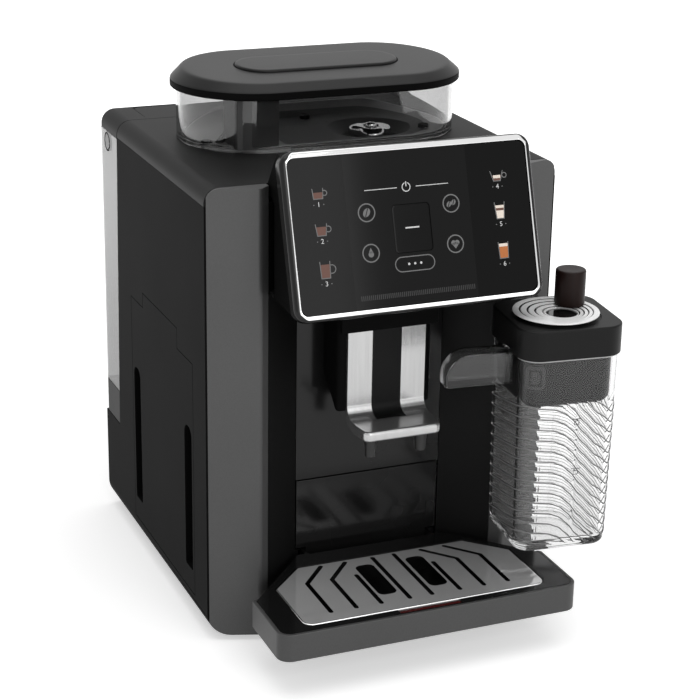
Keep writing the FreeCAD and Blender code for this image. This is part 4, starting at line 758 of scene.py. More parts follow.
class MACHINE_OT_hopper(MachineOperator, bpy.types.Operator):
    """Bean hopper: clear bowl, chute and partition, floor with a funnel, grind marks and plugs."""
    bl_idname = "machine.hopper"
    bl_label = "Bean hopper"

    wall = 2.5
    foot = 2.2
    floor_rim = 309.0
    back_lift = 7.0
    lift_power = 4
    dish_share = 0.45
    slope_width = 11.0
    flat_share = 0.82
    grey_left_of = -36.0
    floor_flat = 307.9
    funnel_radius = 30.0
    throat_radius = 20.0
    throat_top = 301.5
    chute = (-72.0, -44.0)
    chute_wall = 1.6
    chute_front = -45.5
    chute_back = -18.0
    cross_back = 46.5
    cross_drop = 8.0
    dots = 5
    plug_radius = 3.6
    pegs = ((-84.0, 100.0, 307.9), (70.5, 99.2, 307.9), (3.3, 150.5, 307.9))

    def execute(self, context):
        low, high = machine_box("hopper_bowl")
        centre = (low + high) / 2
        middle = move(centre.x, centre.y)
        width = high.x - low.x
        depth = high.y - low.y
        radius = depth / 2
        foot = self.wall + self.foot
        rows = [(0.6, low.z), (0, low.z + 0.6), (0, high.z - 0.6), (0.6, high.z), (self.wall - 0.6, high.z),
                (self.wall, high.z - 0.6), (self.wall, low.z + 5.2), (self.wall, low.z + 4.6)]
        rows += quarter(rows[-1], (foot, low.z + 2.4), 6) + [(foot, low.z + 0.6), (foot - 0.6, low.z)]
        bowl = stack(width, depth, radius, rows, 28, 0, True)
        piece("bowl_wall", bowl, "housing", "clear_plastic", "clear", ["hopper_bowl"], MACHINE @ middle)
        self.floor(middle, width - 2 * foot - 0.8, depth - 2 * foot - 0.8)
        self.partition(centre, high.z)
        self.marks()
        return {"FINISHED"}

    def funnel_place(self):
        """Middle of the funnel, over the grinder's axis."""
        low, high = machine_box("grind_dial")
        return (low + high) / 2

    def floor(self, middle, width, depth):
        """Dark floor with a raised rim, sloping in to a flat and down a funnel round the dial, with a painted
        highlight along the rim's top.
        """
        bottom_z = machine_box("hopper_floor")[0].z
        bm = bmesh.new()
        radius = depth / 2
        ring, plan = plan_ring(bm, width, depth, radius, 24, 0)
        axis = self.funnel_place()
        offset = middle.inverted() @ Vector((axis.x, axis.y, 0))

        def at(inset, share):
            def set_place(place):
                spot = place - outward(place, width, depth, radius) * inset
                spot.x *= 1 - (1 - self.flat_share) * (1 - share)
                lift = self.back_lift * max(0.0, 2 * place.y / depth) ** self.lift_power
                spot.z = self.floor_flat + share * (self.floor_rim + lift - self.floor_flat)
                return spot
            return set_place

        for vert in bm.verts:
            vert.co = vert[plan] + Vector((0, 0, bottom_z))
        bottom = ring
        slope = self.slope_width
        # Index 2 on the rim's top rows paints a white highlight along the rim
        rows = ((0, 0.85, 0), (0.4, 1.0, 2), (1.4, 1.0, 2), (slope / 2, self.dish_share, 0),
                (slope - 1, 0.08, 1), (slope, 0.0, 1))
        for inset, share, shade in rows:
            ring = lift_ring(bm, ring, plan, at(inset, share), shade)
        spot = move(offset.x, offset.y, self.floor_flat)
        circle = bmesh.ops.create_circle(bm, cap_ends=False, radius=self.funnel_radius, segments=96,
                                         matrix=spot)["verts"]
        for vert in circle:
            vert[plan] = Vector((vert.co.x - offset.x, vert.co.y - offset.y, 0))
        loop = [edge for edge in bm.edges if all(vert in set(circle) for vert in edge.verts)]
        bmesh.ops.bridge_loops(bm, edges=ring + loop)

        def down(size, height):
            def set_place(place):
                return place.normalized() * size + Vector((offset.x, offset.y, height))
            return set_place

        throat = self.throat_radius
        top = self.throat_top
        for size, height in ((throat + 1, top + 0.6), (throat, top), (throat, bottom_z)):
            loop = lift_ring(bm, loop, plan, down(size, height))
        bmesh.ops.bridge_loops(bm, edges=bottom + loop)
        everything = list(bm.verts) + list(bm.edges) + list(bm.faces)
        bmesh.ops.bisect_plane(bm, geom=everything, dist=FLAT, plane_co=(self.grey_left_of, 0, 0),
                               plane_no=(1, 0, 0))
        bmesh.ops.recalc_face_normals(bm, faces=bm.faces)
        for face in bm.faces:
            spot = face.calc_center_median()
            if spot.z < self.floor_flat + 0.05:
                face.material_index = 1
            if face.material_index == 1 and spot.x < self.grey_left_of:
                face.material_index = 0
        made = piece("bowl_floor", bm, "housing", "floor_grey", "chassis", ["hopper_floor"], MACHINE @ middle)
        add_finishes(made, "floor_black", "rim_line")

    def partition(self, centre, rim):
        """Smoky chute and clear cross wall on the left of the hopper, with a leaning rib beside it."""
        left, right = self.chute
        seat = self.floor_flat + 0.3
        inner = rim - 1.0
        front = centre.y + self.chute_front
        back = centre.y + self.chute_back
        chute = prism([(left, front), (right, front), (right, back), (left, back)], seat, inner)
        top = [face for face in chute.faces if face.normal.z > 0.9]
        bmesh.ops.inset_region(chute, faces=top, thickness=self.chute_wall)
        for face in top:
            raise_face(chute, face, self.floor_flat + 4.0 - inner)
        bmesh.ops.delete(chute, geom=top, context="FACES_ONLY")
        bmesh.ops.recalc_face_normals(chute, faces=chute.faces)
        piece("bean_chute", chute, "housing", "dark_smoke", "smoke", sharp=30)
        cross_end = (right + 3.0, centre.y + self.cross_back, rim - self.cross_drop)
        cross = block((right + 1.0, back + 2.0, seat), cross_end, 0.4)
        piece("bean_partition", cross, "housing", "clear_plastic", "clear")
        rib = prism([(-79, 308.2), (-74, 308.2), (-61.5, 321.5), (-64.5, 324.0)], -2.0, 2.0)
        soften(rib, list(rib.edges), 0.5, 2)
        upright = move(0, back - 3.0) @ UPRIGHT
        piece("bean_rib", rib, "housing", "inner_black", "chassis", place=MACHINE @ upright)

    def marks(self):
        """Grind scale on the floor, of dots that grow round the dial, and three plugs."""
        axis = self.funnel_place()
        dots = bmesh.new()
        reach = self.funnel_radius + 4.0
        for i in range(self.dots):
            turn = math.radians(150 - i * 20)
            r = 0.7 + 0.28 * i
            dot = turned(r, [(r, 0), (r, 0.12), (r - 0.1, 0.2)], 6)
            x = axis.x + reach * math.cos(turn)
            merge(dots, dot, move(x, axis.y + reach * math.sin(turn), self.floor_flat + 0.02))
        piece("grind_marks", dots, "housing", "dim_mark", "chassis")
        plugs = bmesh.new()
        r = self.plug_radius
        rows = [(r, 0), (r, 2.2), (r - 0.4, 2.6), (r - 1.4, 2.6), (r - 1.8, 2.2), (r - 2.6, 2.2)]
        for spot in self.pegs:
            merge(plugs, turned(r, rows, 10), move(*spot))
        piece("floor_plugs", plugs, "housing", "inner_black", "chassis")


class MACHINE_OT_hopper_lid(MachineOperator, bpy.types.Operator):
    """Oblong hopper lid with a round shoulder and a low pad on top, ringed by a painted shadow line."""
    bl_idname = "machine.hopper_lid"
    bl_label = "Hopper lid"

    pad_half_length = 57.0
    pad_radius = 19.0
    pad_height = 1.5
    band_height = 4.8
    edge_round = 5.0
    roof = 4.0

    def execute(self, context):
        sizes = context.scene.machine_sizes
        low, high = machine_box("hopper_lid")
        bowl_low, bowl_high = machine_box("hopper_bowl")
        centre = (low + high) / 2
        width = high.x - low.x
        depth = high.y - low.y
        place = MACHINE @ move(centre.x, centre.y)
        slope = math.tan(sizes.lid_lean)
        top = high.z - slope * (depth / 2 - self.edge_round)
        shoulder = sizes.lid_shoulder / MM
        band = low.z + self.band_height
        seat = bowl_high.z + 0.4
        gap = bowl_low.x - low.x - 0.5
        lip = gap + 5.2
        step = 0.5
        rows = [(lip, top - self.roof - slope * depth / 2), (lip, seat), (step, seat), (step, band),
                (0.1, band + 0.15), (0.25, band + 0.5)]
        rise = top - band
        rows += [(shoulder * 0.16, band + rise * 0.22), (shoulder * 0.78, band + rise * 0.84),
                 (shoulder * 0.9, band + rise * 0.94), (shoulder * 1.1, top - 0.05), (shoulder * 1.35, top),
                 (shoulder * 1.9, top)]
        lid = stack(width, depth, depth / 2, rows, 28)
        for vert in lid.verts:
            share = max(0.0, (vert.co.z - band) / rise)
            vert.co.z += slope * vert.co.y * share
        r = self.pad_radius
        h = self.pad_height
        pad_rows = [(0, -1.0), (0, 0.25)] + quarter((0, 0.25), (1.4, h - 0.02), 4) + [(3.0, h)]
        tilt = move(0, 0, top) @ Matrix.Rotation(sizes.lid_lean, 4, "X")
        merge(lid, stack(2 * self.pad_half_length, 2 * r, r, pad_rows, 20), tilt)
        piece("bowl_lid", lid, "hopper_lid", "satin_lid", "black", ["hopper_lid"], place)
        # Matt black ring just above the crown round the pad: a painted shadow line along the pad's edge
        seam = 1.0
        pad_shadow_rows = [(0, -0.4), (0, 0.1), (seam + 0.1, 0.1), (seam + 0.1, -0.4)]
        line = stack(2 * (self.pad_half_length + seam), 2 * (r + seam), r + seam, pad_shadow_rows, 20, 0, True)
        piece("pad_shadow_line", line, "hopper_lid", "satin_black", "black", place=place @ tilt)
        ring = [(gap, low.z + 0.3), (gap - 0.3, low.z), (0.6, low.z), (0, low.z + 0.6), (0, band - 0.4),
                (0.3, band - 0.1), (step - 0.02, band - 0.1), (step - 0.02, seat - 0.02), (gap, seat - 0.02)]
        foot = stack(width, depth, depth / 2, ring, 28, 0, True)
        piece("lid_band", foot, "hopper_lid", "satin_black", "black", place=place)
        return {"FINISHED"}


class MACHINE_OT_grind_dial(MachineOperator, bpy.types.Operator):
    """Chrome grind dial with three lobes and a button in its middle."""
    bl_idname = "machine.grind_dial"
    bl_label = "Grind dial"

    lobes = 3
    lobe_share = 0.2
    base = 303.2
    hub = 6.0

    def execute(self, context):
        low, high = machine_box("grind_dial")
        r = (high.x - low.x) / 2
        base = self.base
        place = MACHINE @ move((low.x + high.x) / 2, (low.y + high.y) / 2)
        body = r / (1 + self.lobe_share)
        rows = [(5.0, low.z), (5.0, base), (body, base), (body, base + 3.2)]
        rows += [(body - 0.4, base + 4.4), (body - 1.6, base + 5.6), (body - 3.6, base + 6.2),
                 (6.2, base + 6.0), (5.6, base + 5.2), (4.6, base + 5.2)]
        dial = turned(body, rows, 24)
        for vert in dial.verts:
            reach = math.hypot(vert.co.x, vert.co.y)
            swell = max(0.0, min(1.0, (reach - self.hub) / (body - self.hub)))
            wave = self.lobe_share * math.cos(self.lobes * (math.atan2(vert.co.y, vert.co.x) - 0.3))
            vert.co.x *= 1 + swell * wave
            vert.co.y *= 1 + swell * wave
        piece("dial_knob", dial, "grind_adjuster", "bright_chrome", "chrome", ["grind_dial"], place)
        rows = [(3.9, base + 4.8), (4.0, base + 6.8), (3.5, base + 7.8), (2.2, base + 8.3), (0.8, base + 8.5)]
        button = turned(4.0, rows)
        piece("dial_button", button, "grind_adjuster", "soft_chrome", "chrome", place=place)
        return {"FINISHED"}


class MACHINE_OT_panel(MachineOperator, bpy.types.Operator):
    """Control panel: chrome bezel, dark glass and the start key."""
    bl_idname = "machine.panel"
    bl_label = "Control panel"

    bezel_width = 4.0
    bezel_depth = 8.0
    bezel_proud = 1.0
    corner = 9.0
    trim_line = 1.3
    trim_top = 1.9
    trim_bottom = 0.9
    key = (25.0, 29.4)
    key_corner = 2.5
    key_place = (-1.8, -0.6)
    height = 102.6

    def execute(self, context):
        sizes = context.scene.machine_sizes
        place = panel_frame(sizes)
        low, high = machine_box("panel_bezel")
        width = high.x - low.x
        height = self.height
        bulge = sizes.bezel_round / MM
        w = self.bezel_width
        top = self.bezel_proud
        back = -self.bezel_depth
        rows = [(0.5, back), (0, back + 0.5), (0, top - bulge)]
        rows += quarter((0, top - bulge), (bulge, top), 7)
        rows += [(w - 0.35, top), (w, top - 0.3), (w, -2.8)]
        bezel = stack(width, height, self.corner, rows, 14, 0, True)
        piece("bezel_ring", bezel, "housing", "gloss_black", "black_gloss", ["panel_bezel"], place)
        self.trim(place, width - 2 * w, height - 2 * w, top)
        dress("panel_glass", "panel_glass")
        key_rows = [(0, -3.0), (0, -0.6)] + quarter((0, -0.6), (0.35, -0.25), 3) + [(1.2, -0.25)]
        key = stack(self.key[0], self.key[1], self.key_corner, key_rows, 8)
        merge(key, block((-2, -2, -5), (2, 2, -2.9), 0.2))
        piece("start_key", key, "start_button", "button_glass", "dark_glass", ["start_stop_button"],
              place @ move(*self.key_place))
        return {"FINISHED"}

    def trim(self, place, width, height, top):
        """Chrome ring round the glass: a thin line at the sides, wider below and widest along the top."""
        line = self.trim_line
        rows = [(0, top - 0.6), (0, top + 0.02), (0.35, top + 0.22), (line - 0.3, top + 0.22),
                (line, top - 0.1), (line, top - 0.6)]
        radius = self.corner - self.bezel_width + line
        ring = stack(width + 2 * line, height + 2 * line, radius, rows, 14, 0, True)
        for vert in ring.verts:
            outer = max(abs(vert.co.x) - width / 2, abs(vert.co.y) - height / 2) / line
            share = max(0.0, min(1.0, outer))
            if vert.co.y > height / 2 - self.corner and outer > 0:
                vert.co.y += share * self.trim_top
                vert.co.z -= share * 0.5
            if vert.co.y < self.corner - height / 2 and outer > 0:
                vert.co.y -= share * self.trim_bottom
                vert.co.z -= share * 0.25
        piece("bezel_trim", ring, "housing", "bright_chrome", "chrome", place=place)


class MACHINE_OT_print(MachineOperator, bpy.types.Operator):
    """Generic print on the panel: cups, numbers, ring symbols, power symbol, pill outline and ticks."""
    bl_idname = "machine.print"
    bl_label = "Panel print"

    cup_u = {"left": -61.0, "right": 58.0}
    cup_v = {"left": (25.0, 3.4, -20.6), "right": (26.0, 4.7, -20.0)}
    ring_places = ((-30.9, 11.1), (25.4, 11.9), (-30.6, -13.4), (25.7, -13.0))
    ring_radius = 5.7
    power_place = (-3.4, 24.4)
    pill = (-2.4, -22.2, 26.7, 9.5)
    ticks = (-39.6, 35.8, -41.7)
    tick_count = 60
    key_bar = (-1.8, -0.3, -0.24)
    glass_wall = 0.55
    number_drop = 3.2

    def execute(self, context):
        sizes = context.scene.machine_sizes
        self.rise = sizes.print_rise / MM
        self.place = panel_frame(sizes)
        self.sheets = {}
        self.drinks()
        self.symbols()
        for name, bm in self.sheets.items():
            piece("print_" + name, bm, "housing", name, "dark_glass", place=self.place, sharp=40)
        bar = block((-4.6, -0.45, 0), (4.6, 0.45, self.rise), 0)
        key = self.place @ move(*self.key_bar)
        piece("key_bar", bar, "start_button", "mark", "dark_glass", place=key)
        return {"FINISHED"}

    def add(self, ink, bm, u, v, layer=0, turn=0.0):
        """Put a shape on the sheet of one ink, a layer above the glass."""
        place = move(u, v, self.rise * (0.4 + layer)) @ Matrix.Rotation(turn, 4, "Z")
        if ink not in self.sheets:
            self.sheets[ink] = bmesh.new()
        merge(self.sheets[ink], bm, place)

    def plate(self, corners):
        """Flat shape with straight sides."""
        return prism(corners, 0, self.rise)

    def bar(self, low_u, low_v, high_u, high_v):
        """Flat rectangle between two corners."""
        return self.plate([(low_u, low_v), (high_u, low_v), (high_u, high_v), (low_u, high_v)])

    def tapered(self, bottom, top, height, low=0.0):
        """Cup-like shape, wider at its top."""
        lip = low + height
        return self.plate([(-bottom / 2, low), (bottom / 2, low), (top / 2, lip), (-top / 2, lip)])

    def ring(self, radius, line, steps=12):
        """Flat ring."""
        return self.pill_ring(2 * radius, 2 * radius, line, steps)

    def disc(self, radius, steps=8):
        """Flat round spot."""
        return stack(2 * radius, 2 * radius, radius, [(0, 0), (0, self.rise)], steps)

    def pill_ring(self, width, height, line, steps=10):
        """Flat outline with round ends."""
        rows = [(0, 0), (0, self.rise), (line, self.rise), (line, 0)]
        return stack(width, height, height / 2, rows, steps, 0, True)

    def number(self, text, size):
        """Flat mesh of a numeral, made from a text curve."""
        curve = bpy.data.curves.new("numeral", "FONT")
        curve.body = text
        curve.size = size
        curve.align_x = "CENTER"
        curve.align_y = "CENTER"
        curve.resolution_u = 4
        curve.extrude = self.rise / 2
        holder = bpy.data.objects.new("numeral", curve)
        mesh = bpy.data.meshes.new_from_object(holder)
        bm = bmesh.new()
        bm.from_mesh(mesh)
        bmesh.ops.remove_doubles(bm, verts=bm.verts, dist=FLAT)
        bpy.data.objects.remove(holder)
        bpy.data.curves.remove(curve)
        bpy.data.meshes.remove(mesh)
        return bm

    def drinks(self):
        """Three cups on the left, three milk drinks on the right, each with its number."""
        cups = {"left": ((6.4, 7.4, 6.6, 0.62), (6.0, 7.8, 7.4, 0.75), (6.2, 7.0, 10.4, 0.82)),
                "right": ((5.0, 9.2, 6.6, 0.55), (5.4, 7.4, 10.6, 0.8), (6.2, 7.2, 10.4, 0.86))}
        count = 0
        for side, u in self.cup_u.items():
            for i, v in enumerate(self.cup_v[side]):
                count += 1
                bottom, top, height, fill = cups[side][i]
                low = v - height / 2
                if side == "left" or i == 0:
                    self.add("dim_mark", self.ring(height * 0.27, 0.55), u + top / 2 + 0.6, v + 0.3)
                self.add("dim_mark", self.tapered(bottom, top, height), u, low)
                wall = self.glass_wall
                floor = bottom - 2 * wall
                inner_top = bottom + (top - bottom) * fill - 2 * wall
                self.add("panel_glass", self.tapered(floor, top - 2 * wall, height - wall, wall), u, low, 1)
                drink = self.tapered(floor, inner_top, height * fill - wall, wall)
                ink = "coffee" if side == "left" else ("coffee", "milk", "caramel")[i]
                self.add(ink, drink, u, low, 2)
                if side == "right":
                    self.layer(i, u, low, floor, inner_top, height)
                drop = self.number_drop
                self.add("mark", self.number(str(count), 4.2), u, low - drop)
                for step in (-drop, drop):
                    self.add("dim_mark", self.disc(0.35), u + step, low - drop)

    def layer(self, kind, u, low, bottom, top, height):
        """Foam or coffee layer of one milk drink."""
        ink, start, end = (("milk", 0.3, 0.58), ("coffee", 0.5, 0.64), ("milk", 0.72, 0.9))[kind]
        wide = bottom + (top - bottom) * (start + end) / 2
        band = self.tapered(wide * 0.98, wide * 1.02, height * (end - start), height * start)
        self.add(ink, band, u, low, 3)

    def symbols(self):
        """Power symbol with its lines, four ring symbols, the pill and the fine ticks."""
        u, v = self.power_place
        arc = self.ring(2.9, 0.55)
        gap = [face for face in arc.faces
               if abs(face.calc_center_median().x) < 0.9 and face.calc_center_median().y > 0]
        bmesh.ops.delete(arc, geom=gap, context="FACES")
        bmesh.ops.holes_fill(arc, edges=[edge for edge in arc.edges if edge.is_boundary], sides=8)
        self.add("mark", arc, u, v)
        self.add("mark", self.bar(-0.3, 0.4, 0.3, 3.4), u, v)
        for start, end in ((-31.0, -9.5), (3.0, 24.8)):
            self.add("mark", self.bar(start, -0.22, end, 0.22), 0, v)
        for u, v in self.ring_places:
            self.add("dim_mark", self.ring(self.ring_radius, 0.75, 16), u, v)
        (bean_u, bean_v), (pair_u, pair_v), (drop_u, drop_v), (heart_u, heart_v) = self.ring_places
        self.bean(bean_u, bean_v, 1.0)
        self.bean(pair_u - 1.5, pair_v - 0.4, 0.66)
        self.bean(pair_u + 1.6, pair_v + 0.5, 0.66)
        self.add("dim_mark", self.disc(1.75), drop_u, drop_v - 0.8)
        self.add("dim_mark", self.plate([(-1.62, -0.1), (1.62, -0.1), (0, 3.3)]), drop_u, drop_v)
        for side in (-1, 1):
            self.add("dim_mark", self.disc(1.5), heart_u + side * 1.25, heart_v + 0.8)
        self.add("dim_mark", self.plate([(-2.5, 0.2), (0, -2.9), (2.5, 0.2), (0, 1.3)]), heart_u, heart_v)
        u, v, width, height = self.pill
        self.add("dim_mark", self.pill_ring(width, height, 0.6), u, v)
        for i in range(3):
            self.add("mark", self.disc(0.75), u + (i - 1) * 4.0, v)
        start, end, v = self.ticks
        for i in range(self.tick_count):
            u = start + (end - start) * i / (self.tick_count - 1)
            self.add("faint_mark", self.bar(-0.25, 0, 0.25, 3.0), u, v)

    def bean(self, u, v, share):
        """Coffee bean: an oval with a dark slit."""
        oval = self.disc(2.9 * share, 8)
        bmesh.ops.scale(oval, vec=(0.72, 1.0, 1.0), verts=oval.verts)
        self.add("dim_mark", oval, u, v, 0, -0.6)
        self.add("panel_glass", self.bar(-0.25, -2.6 * share, 0.25, 2.6 * share), u, v, 1, -0.35)


class MACHINE_OT_spout(MachineOperator, bpy.types.Operator):
    """Coffee spout: black carriage, chrome scoop, black strip and two nozzles."""
    bl_idname = "machine.spout"
    bl_label = "Coffee spout"

    plate = 2.5
    lip_height = 7.2
    strip_half = 10.0
    strip_end = -18.5
    brow_half = 33.6
    brow_low = 207.0
    nozzle_pitch = 35.0
    nozzle_y = -25.0
    face = -8.0
    nose_round = 5.0
    carriage_back = 18.6
    carriage_round = 5.5
    tail_half = 10.0
    tail_low = 196.0
    tail_high = 226.0
    nozzle_radius = 4.0

    def execute(self, context):
        self.low, self.high = machine_box("spout_cover")
        self.bend = context.scene.machine_sizes.spout_bend / MM
        self.scoop()
        self.strip()
        self.carriage()
        self.nozzles()
        ceiling = machine_box("bay_ceiling")[0].z
        half = self.brow_half
        brow = block((-half, -13.2, self.brow_low), (half, -9.4, ceiling + 1.0), 0.8, 3)
        piece("spout_brow", brow, "housing", "satin_black", "black", even=True)
        return {"FINISHED"}

    def scoop(self):
        """Chrome plate with a hollow bend into a forward lip."""
        low, high = self.low, self.high
        lip = low.z + self.lip_height
        back = self.face + self.plate
        corners = [(self.face, high.z), (self.face, lip), (low.y, lip), (low.y, low.z), (back, low.z),
                   (back, high.z)]
        half = high.x
        bm = prism(corners, -half, half)
        soften(bm, edges_at(bm, self.face, lip), self.bend, 10)
        soften(bm, edges_at(bm, back, low.z), self.bend + self.plate - 0.2, 10)
        nose = [edge for edge in edges_where(bm, lambda co: near(co.x, low.y) and near(abs(co.z), half))
                if near(edge.verts[0].co.z, edge.verts[1].co.z)]
        soften(bm, nose, self.nose_round, 6)
        reach = low.y + self.nose_round + 0.2
        front = [edge for edge in sharp_edges(bm, 40) if all(vert.co.x < reach for vert in edge.verts)]
        soften(bm, front, 2.4, 5)
        soften(bm, sharp_edges(bm, 40), 1.0, 3)
        bmesh.ops.recalc_face_normals(bm, faces=bm.faces)
        piece("spout_scoop", bm, "spout", "scoop_chrome", "chrome", ["spout_cover"], MACHINE @ SIDEWAYS,
              even=True)

    def strip(self):
        """Black strip down the chrome's middle that ends round on the lip."""
        lip = self.low.z + self.lip_height
        rise = 0.45
        sunk = 0.6
        outer = self.face - rise
        inner = self.face + sunk
        end = self.strip_end
        top = self.high.z
        corners = [(outer, top), (outer, lip + rise), (end, lip + rise), (end, lip - sunk),
                   (inner, lip - sunk), (inner, top)]
        half = self.strip_half
        bm = prism(corners, -half, half)
        soften(bm, edges_at(bm, outer, lip + rise), self.bend - rise, 10)
        soften(bm, edges_at(bm, inner, lip - sunk), self.bend + sunk, 10)
        soften(bm, edges_where(bm, lambda co: near(co.x, end) and near(abs(co.z), half)), 3.0, 5)
        bmesh.ops.recalc_face_normals(bm, faces=bm.faces)
        piece("spout_strip", bm, "spout", "satin_top", "black", place=MACHINE @ SIDEWAYS, even=True)

    def carriage(self):
        """Black carriage behind the chrome with a slanting chin and its tail in the back wall."""
        high = machine_box("spout_carriage")[1]
        front = self.face + self.plate + 0.05
        back = self.carriage_back
        chin = self.low.z + self.lip_height + 0.2
        corners = [(front, high.z), (front, chin), (back, chin + back - front), (back, high.z)]
        half = high.x
        bm = prism(corners, -half, half)
        upright = edges_where(bm, lambda co: near(co.x, front) and near(abs(co.z), half))
        soften(bm, upright, self.carriage_round, 6)
        soften(bm, sharp_edges(bm, 35), 0.6, 2)
        tail_start = (back - 1.0, self.tail_low, -self.tail_half)
        merge(bm, block(tail_start, (high.y, self.tail_high, self.tail_half), 0.4))
        piece("spout_block", bm, "spout", "satin_black", "black", ["spout_carriage"], MACHINE @ SIDEWAYS,
              even=True)

    def nozzles(self):
        """Two stepped outlets under the lip."""
        low, high = machine_box("spout_nozzles")
        pair = bmesh.new()
        r = self.nozzle_radius
        rows = [(2.4, high.z - 2.0), (2.4, low.z + 0.5), (2.7, low.z), (3.2, low.z), (3.5, low.z + 0.4),
                (3.7, low.z + 7), (r, low.z + 8), (r, high.z - 0.02)]
        for side in (-1, 1):
            merge(pair, turned(r, rows, 10), move(side * self.nozzle_pitch / 2, self.nozzle_y))
        piece("coffee_outlets", pair, "spout", "outlet_grey", "black", ["spout_nozzles"])


class MACHINE_OT_tray(MachineOperator, bpy.types.Operator):
    """Drip tray: glossy basin, grey band, polished grid and red float."""
    bl_idname = "machine.tray"
    bl_label = "Drip tray"

    grid_rim = 7.0

    def execute(self, context):
        edge = context.scene.machine_sizes.edge / MM
        skin("tray_basin", "drip_tray", "tray", "gloss_black", "black_gloss", edge)
        skin("tray_front", "tray_band", "tray", "band_grey_shaded", "grey", edge * 1.4, None, 3)
        low, high = machine_box("drip_grid")

        def outline(bm):
            """Round the grid's outer edge, outside the slots, in brighter plating; the slots' walls take
            glossy black as painted shade.
            """
            rim = self.grid_rim
            end = high.x - 2 * rim
            edges = edges_where(bm, lambda co: near(co.z, high.z) and (
                co.y < low.y + rim or co.y > high.y - rim / 3 or abs(co.x) > end))
            for face in bm.faces:
                spot = face.calc_center_median()
                inside = low.y + rim / 2 < spot.y < high.y - rim / 5 and abs(spot.x) < end
                # Upright faces in the slot area are painted glossy black as shade in the slots
                face.material_index = 2 if inside and abs(face.normal.z) < 0.5 else 0
            for face in soften(bm, edges, 1.0, 4):
                face.material_index = 1

        grid = skin("grid_plate", "drip_grid", "grid", "grid_steel", "steel", 0.12, outline)
        add_finishes(grid, "bright_chrome", "well_black_and_hollow_shade")
        skin("float_bar", "float_indicator", "float", "float_red", "red", 0.5)
        return {"FINISHED"}


